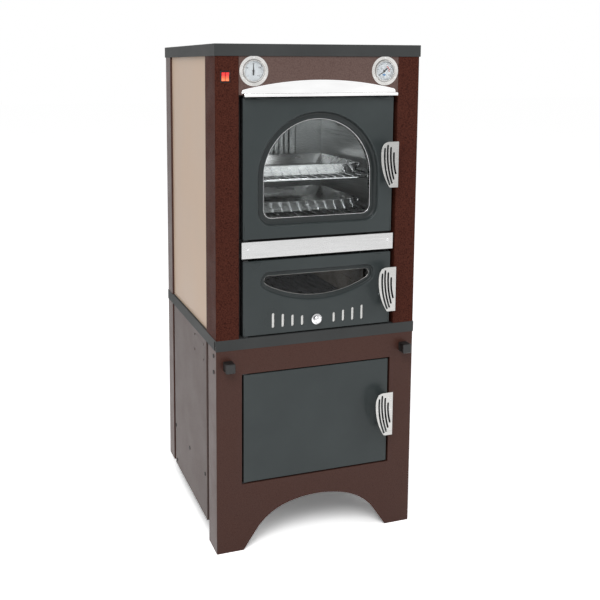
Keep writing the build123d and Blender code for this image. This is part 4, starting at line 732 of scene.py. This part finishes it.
def windowBead(name, values):
    skin = doorSkins[name]
    window = skin["outline"](skin["window"])
    shape = bmesh.new()
    rings = []
    for k in range(values["sides"]):
        turn = math.tau * k / values["sides"]
        rings.append(addRing(shape, grown(window, values["grow"] + values["wire"] * math.cos(turn)),
                             values["depth"] - values["wire"] * math.sin(turn)))
    bridged(shape, rings + [rings[0]])
    smoothed(newPiece(name + "Bead", shape, values["look"], skin["body"]), 60)


for name, values in windowBeads.items():
    windowBead(name, values)
print("stage: window beads laid")

# plate handles with four curved slots, on a leg and a foot; x is taken from the plate's straight side
handleShape = {"plate": 2.2, "bevel": 0.0004, "half": 68, "topEnd": (-30, 68), "widest": (-57, 30),
               "belly": (-57, -22), "lower": (-31, -63), "toe": (-28, -66.8), "heel": (-24, -68),
               "slotWidth": 5.7, "slotSteps": 18,
               "slots": (((-45, 48), (-44.5, 5), (-28, -58)), ((-35.5, 57), (-35, 8), (-20.5, -54)),
                         ((-25.5, 50), (-25, 10), (-15, -42)), ((-15.5, 34), (-15, 6), (-8.5, -26)))}
handleLeg = {"height": 0.100, "leg": (-3, 0), "foot": (-16, -2), "footThick": 3}
handlePlaces = {"ovenHandle": ("oven_door", "oven_door_handle"),
                "fireHandle": ("fire_door", "fire_door_handle"),
                "baseHandle": ("base_door", "base_door_handle")}


def handleOutline(values):
    half, topEnd, widest, lower, heel = (values[k] for k in ("half", "topEnd", "widest", "lower", "heel"))
    return joinPoints(linePoints((0, -half), (0, half), 6), linePoints((0, half), topEnd, 3),
                      bendPoints(topEnd, (widest[0], half), widest, 18),
                      bendPoints(widest, values["belly"], lower, 26),
                      arcPoints(lower, values["toe"], heel, 5), linePoints(heel, (0, -half), 2))


def curvedSlot(points, width, steps):
    line = arcPoints(*points, steps)
    left, right = [], []
    for k, (x, z) in enumerate(line):
        before, after = line[max(k - 1, 0)], line[min(k + 1, steps)]
        tx, tz = after[0] - before[0], after[1] - before[1]
        size = math.hypot(tx, tz)
        nx, nz = tz / size * width / 2, -tx / size * width / 2
        left.append((x + nx, z + nz))
        right.append((x - nx, z - nz))
    tips = []
    for (x, z), (nextX, nextZ) in ((line[-1], line[-2]), (line[0], line[1])):
        reach = math.dist((x, z), (nextX, nextZ))
        tips.append((x + (x - nextX) / reach * width / 2, z + (z - nextZ) / reach * width / 2))
    return joinPoints(left, arcPoints(left[-1], tips[0], right[-1], 6), right[::-1],
                      arcPoints(right[0], tips[1], left[0], 6))


def plateHandle(name, body, node):
    low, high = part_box(node)
    x, z = high.x * 1000, (low.z + high.z) * 500
    front, face = low.y * 1000 + frontPlane, high.y * 1000 + frontPlane
    shape = bmesh.new()
    slots = [curvedSlot(points, handleShape["slotWidth"], handleShape["slotSteps"])
             for points in handleShape["slots"]]
    runs = [[(x + px, z + pz) for px, pz in run] for run in [handleOutline(handleShape), *slots]]
    edges = sum((addRing(shape, run, front) for run in runs), [])
    bmesh.ops.triangle_fill(shape, use_beauty=True, use_dissolve=False, edges=edges, normal=(0, -1, 0))
    made = bmesh.ops.extrude_face_region(shape, geom=shape.faces[:])
    moved = [v for v in made["geom"] if isinstance(v, bmesh.types.BMVert)]
    bmesh.ops.translate(shape, vec=(0, handleShape["plate"] / 1000, 0), verts=moved)
    piece = newPiece(name, shape, "stainless", body)
    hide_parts(node)
    leg = bmesh.new()
    back, footFront = front + handleShape["plate"], face - handleLeg["footThick"]
    for (left, right), start in ((handleLeg["leg"], back), (handleLeg["foot"], footFront)):
        size = ((right - left) / 1000, (face - start) / 1000, handleLeg["height"])
        addBlock(leg, size, Matrix.Translation(spot(x + (left + right) / 2, (start + face) / 2, z)))
    for made in (piece, newPiece(name + "Leg", leg, "blackSteel", body)):
        bevel = made.modifiers.new("round", "BEVEL")
        bevel.width, bevel.segments, bevel.limit_method = handleShape["bevel"], 2, "ANGLE"
        bevel.angle_limit = math.radians(50)
        smoothed(made, 40)


for name, (body, node) in handlePlaces.items():
    plateHandle(name, body, node)
print("stage: handles made")

# gauges: polished inner bezel, darkened as painted shade for the groove round the dial, and a stout pointer
# with a tail; profiles are (radius, depth)
gaugePlace = {"left": -204, "right": 204, "z": 1424.5}
gaugeBezel = ((33.2, 0.9), (33.0, -0.7), (32.2, -1.7), (31.0, -2.2), (29.9, -1.9), (29.2, -0.9), (29.0, 1.1))
gaugeHand = {"depth": 4.3, "thick": 0.6, "blade": (3.4, 0, 21), "tail": (4.08, -12, 0), "tipShare": 0.35,
             "bossRadius": 3.4, "bossTop": 2.42857, "bossDepth": 4.1, "bossThick": 1.6}
pointers = {"leftPointerHand": {"side": "left", "angle": 0, "body": "left_pointer",
                                "replaces": "left_gauge_needle"},
            "rightPointerHand": {"side": "right", "angle": -128, "body": "right_pointer",
                                 "replaces": "right_gauge_needle"}}


def spunPiece(name, x, z, profile, look, steps, smooth, filled=False):
    shape = bmesh.new()
    verts = [shape.verts.new(spot(x + radius, depth, z)) for radius, depth in profile]
    edges = [shape.edges.new(pair) for pair in zip(verts, verts[1:])]
    bmesh.ops.spin(shape, geom=verts + edges, cent=(x / 1000, 0, z / 1000), axis=(0, 1, 0),
                   angle=math.tau, steps=steps, use_merge=True)
    bmesh.ops.remove_doubles(shape, verts=shape.verts[:], dist=0.000002)
    if filled:
        bmesh.ops.holes_fill(shape, edges=shape.edges[:], sides=0)
    smoothed(newPiece(name, shape, look, "oven_body"), smooth)


def pointer(name, values):
    shape = bmesh.new()
    x, z = gaugePlace[values["side"]], gaugePlace["z"]
    for width, start, end in (gaugeHand["blade"], gaugeHand["tail"]):
        size = (width / 1000, gaugeHand["thick"] / 1000, (end - start) / 1000)
        addBlock(shape, size, Matrix.Translation((0, 0, (start + end) / 2000)))
    for vert in shape.verts:
        if vert.co.z > 0.02:  # the blade's far end is drawn in to a tip
            vert.co.x *= gaugeHand["tipShare"]
    turn = Matrix.Rotation(math.radians(values["angle"]), 4, "Y")
    bmesh.ops.transform(shape, matrix=Matrix.Translation(spot(x, gaugeHand["depth"], z)) @ turn,
                        verts=shape.verts[:])
    boss = bmesh.ops.create_cone(shape, cap_ends=True, segments=32, radius1=gaugeHand["bossRadius"] / 1000,
                                 radius2=gaugeHand["bossTop"] / 1000, depth=gaugeHand["bossThick"] / 1000)
    forward = Matrix.Rotation(math.pi / 2, 4, "X")
    bmesh.ops.transform(shape, matrix=Matrix.Translation(spot(x, gaugeHand["bossDepth"], z)) @ forward,
                        verts=boss["verts"])
    piece = newPiece(name, shape, "needlePaint", values["body"])
    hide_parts(values["replaces"])


for side in ("left", "right"):
    spunPiece(side + "Bezel", gaugePlace[side], gaugePlace["z"], gaugeBezel, "bezelSteel", 64, 50)
for name, values in pointers.items():
    pointer(name, values)
print("stage: gauges trimmed")

# bright rivet heads on the trim strip
rivets = {"places": (-222.5, 223.5), "z": 917.5, "radius": 4.4, "height": 1.5, "front": -1.0,
          "dome": (0, 0.3, 0.6, 0.9, 1.2, 1.45)}
dome = [(rivets["radius"] * math.cos(turn), rivets["front"] - rivets["height"] * math.sin(turn))
        for turn in rivets["dome"]]
for number, x in enumerate(rivets["places"], 1):
    spunPiece("stripRivet" + str(number), x, rivets["z"], dome, "chrome", 24, 60, filled=True)
print("stage: rivets set")
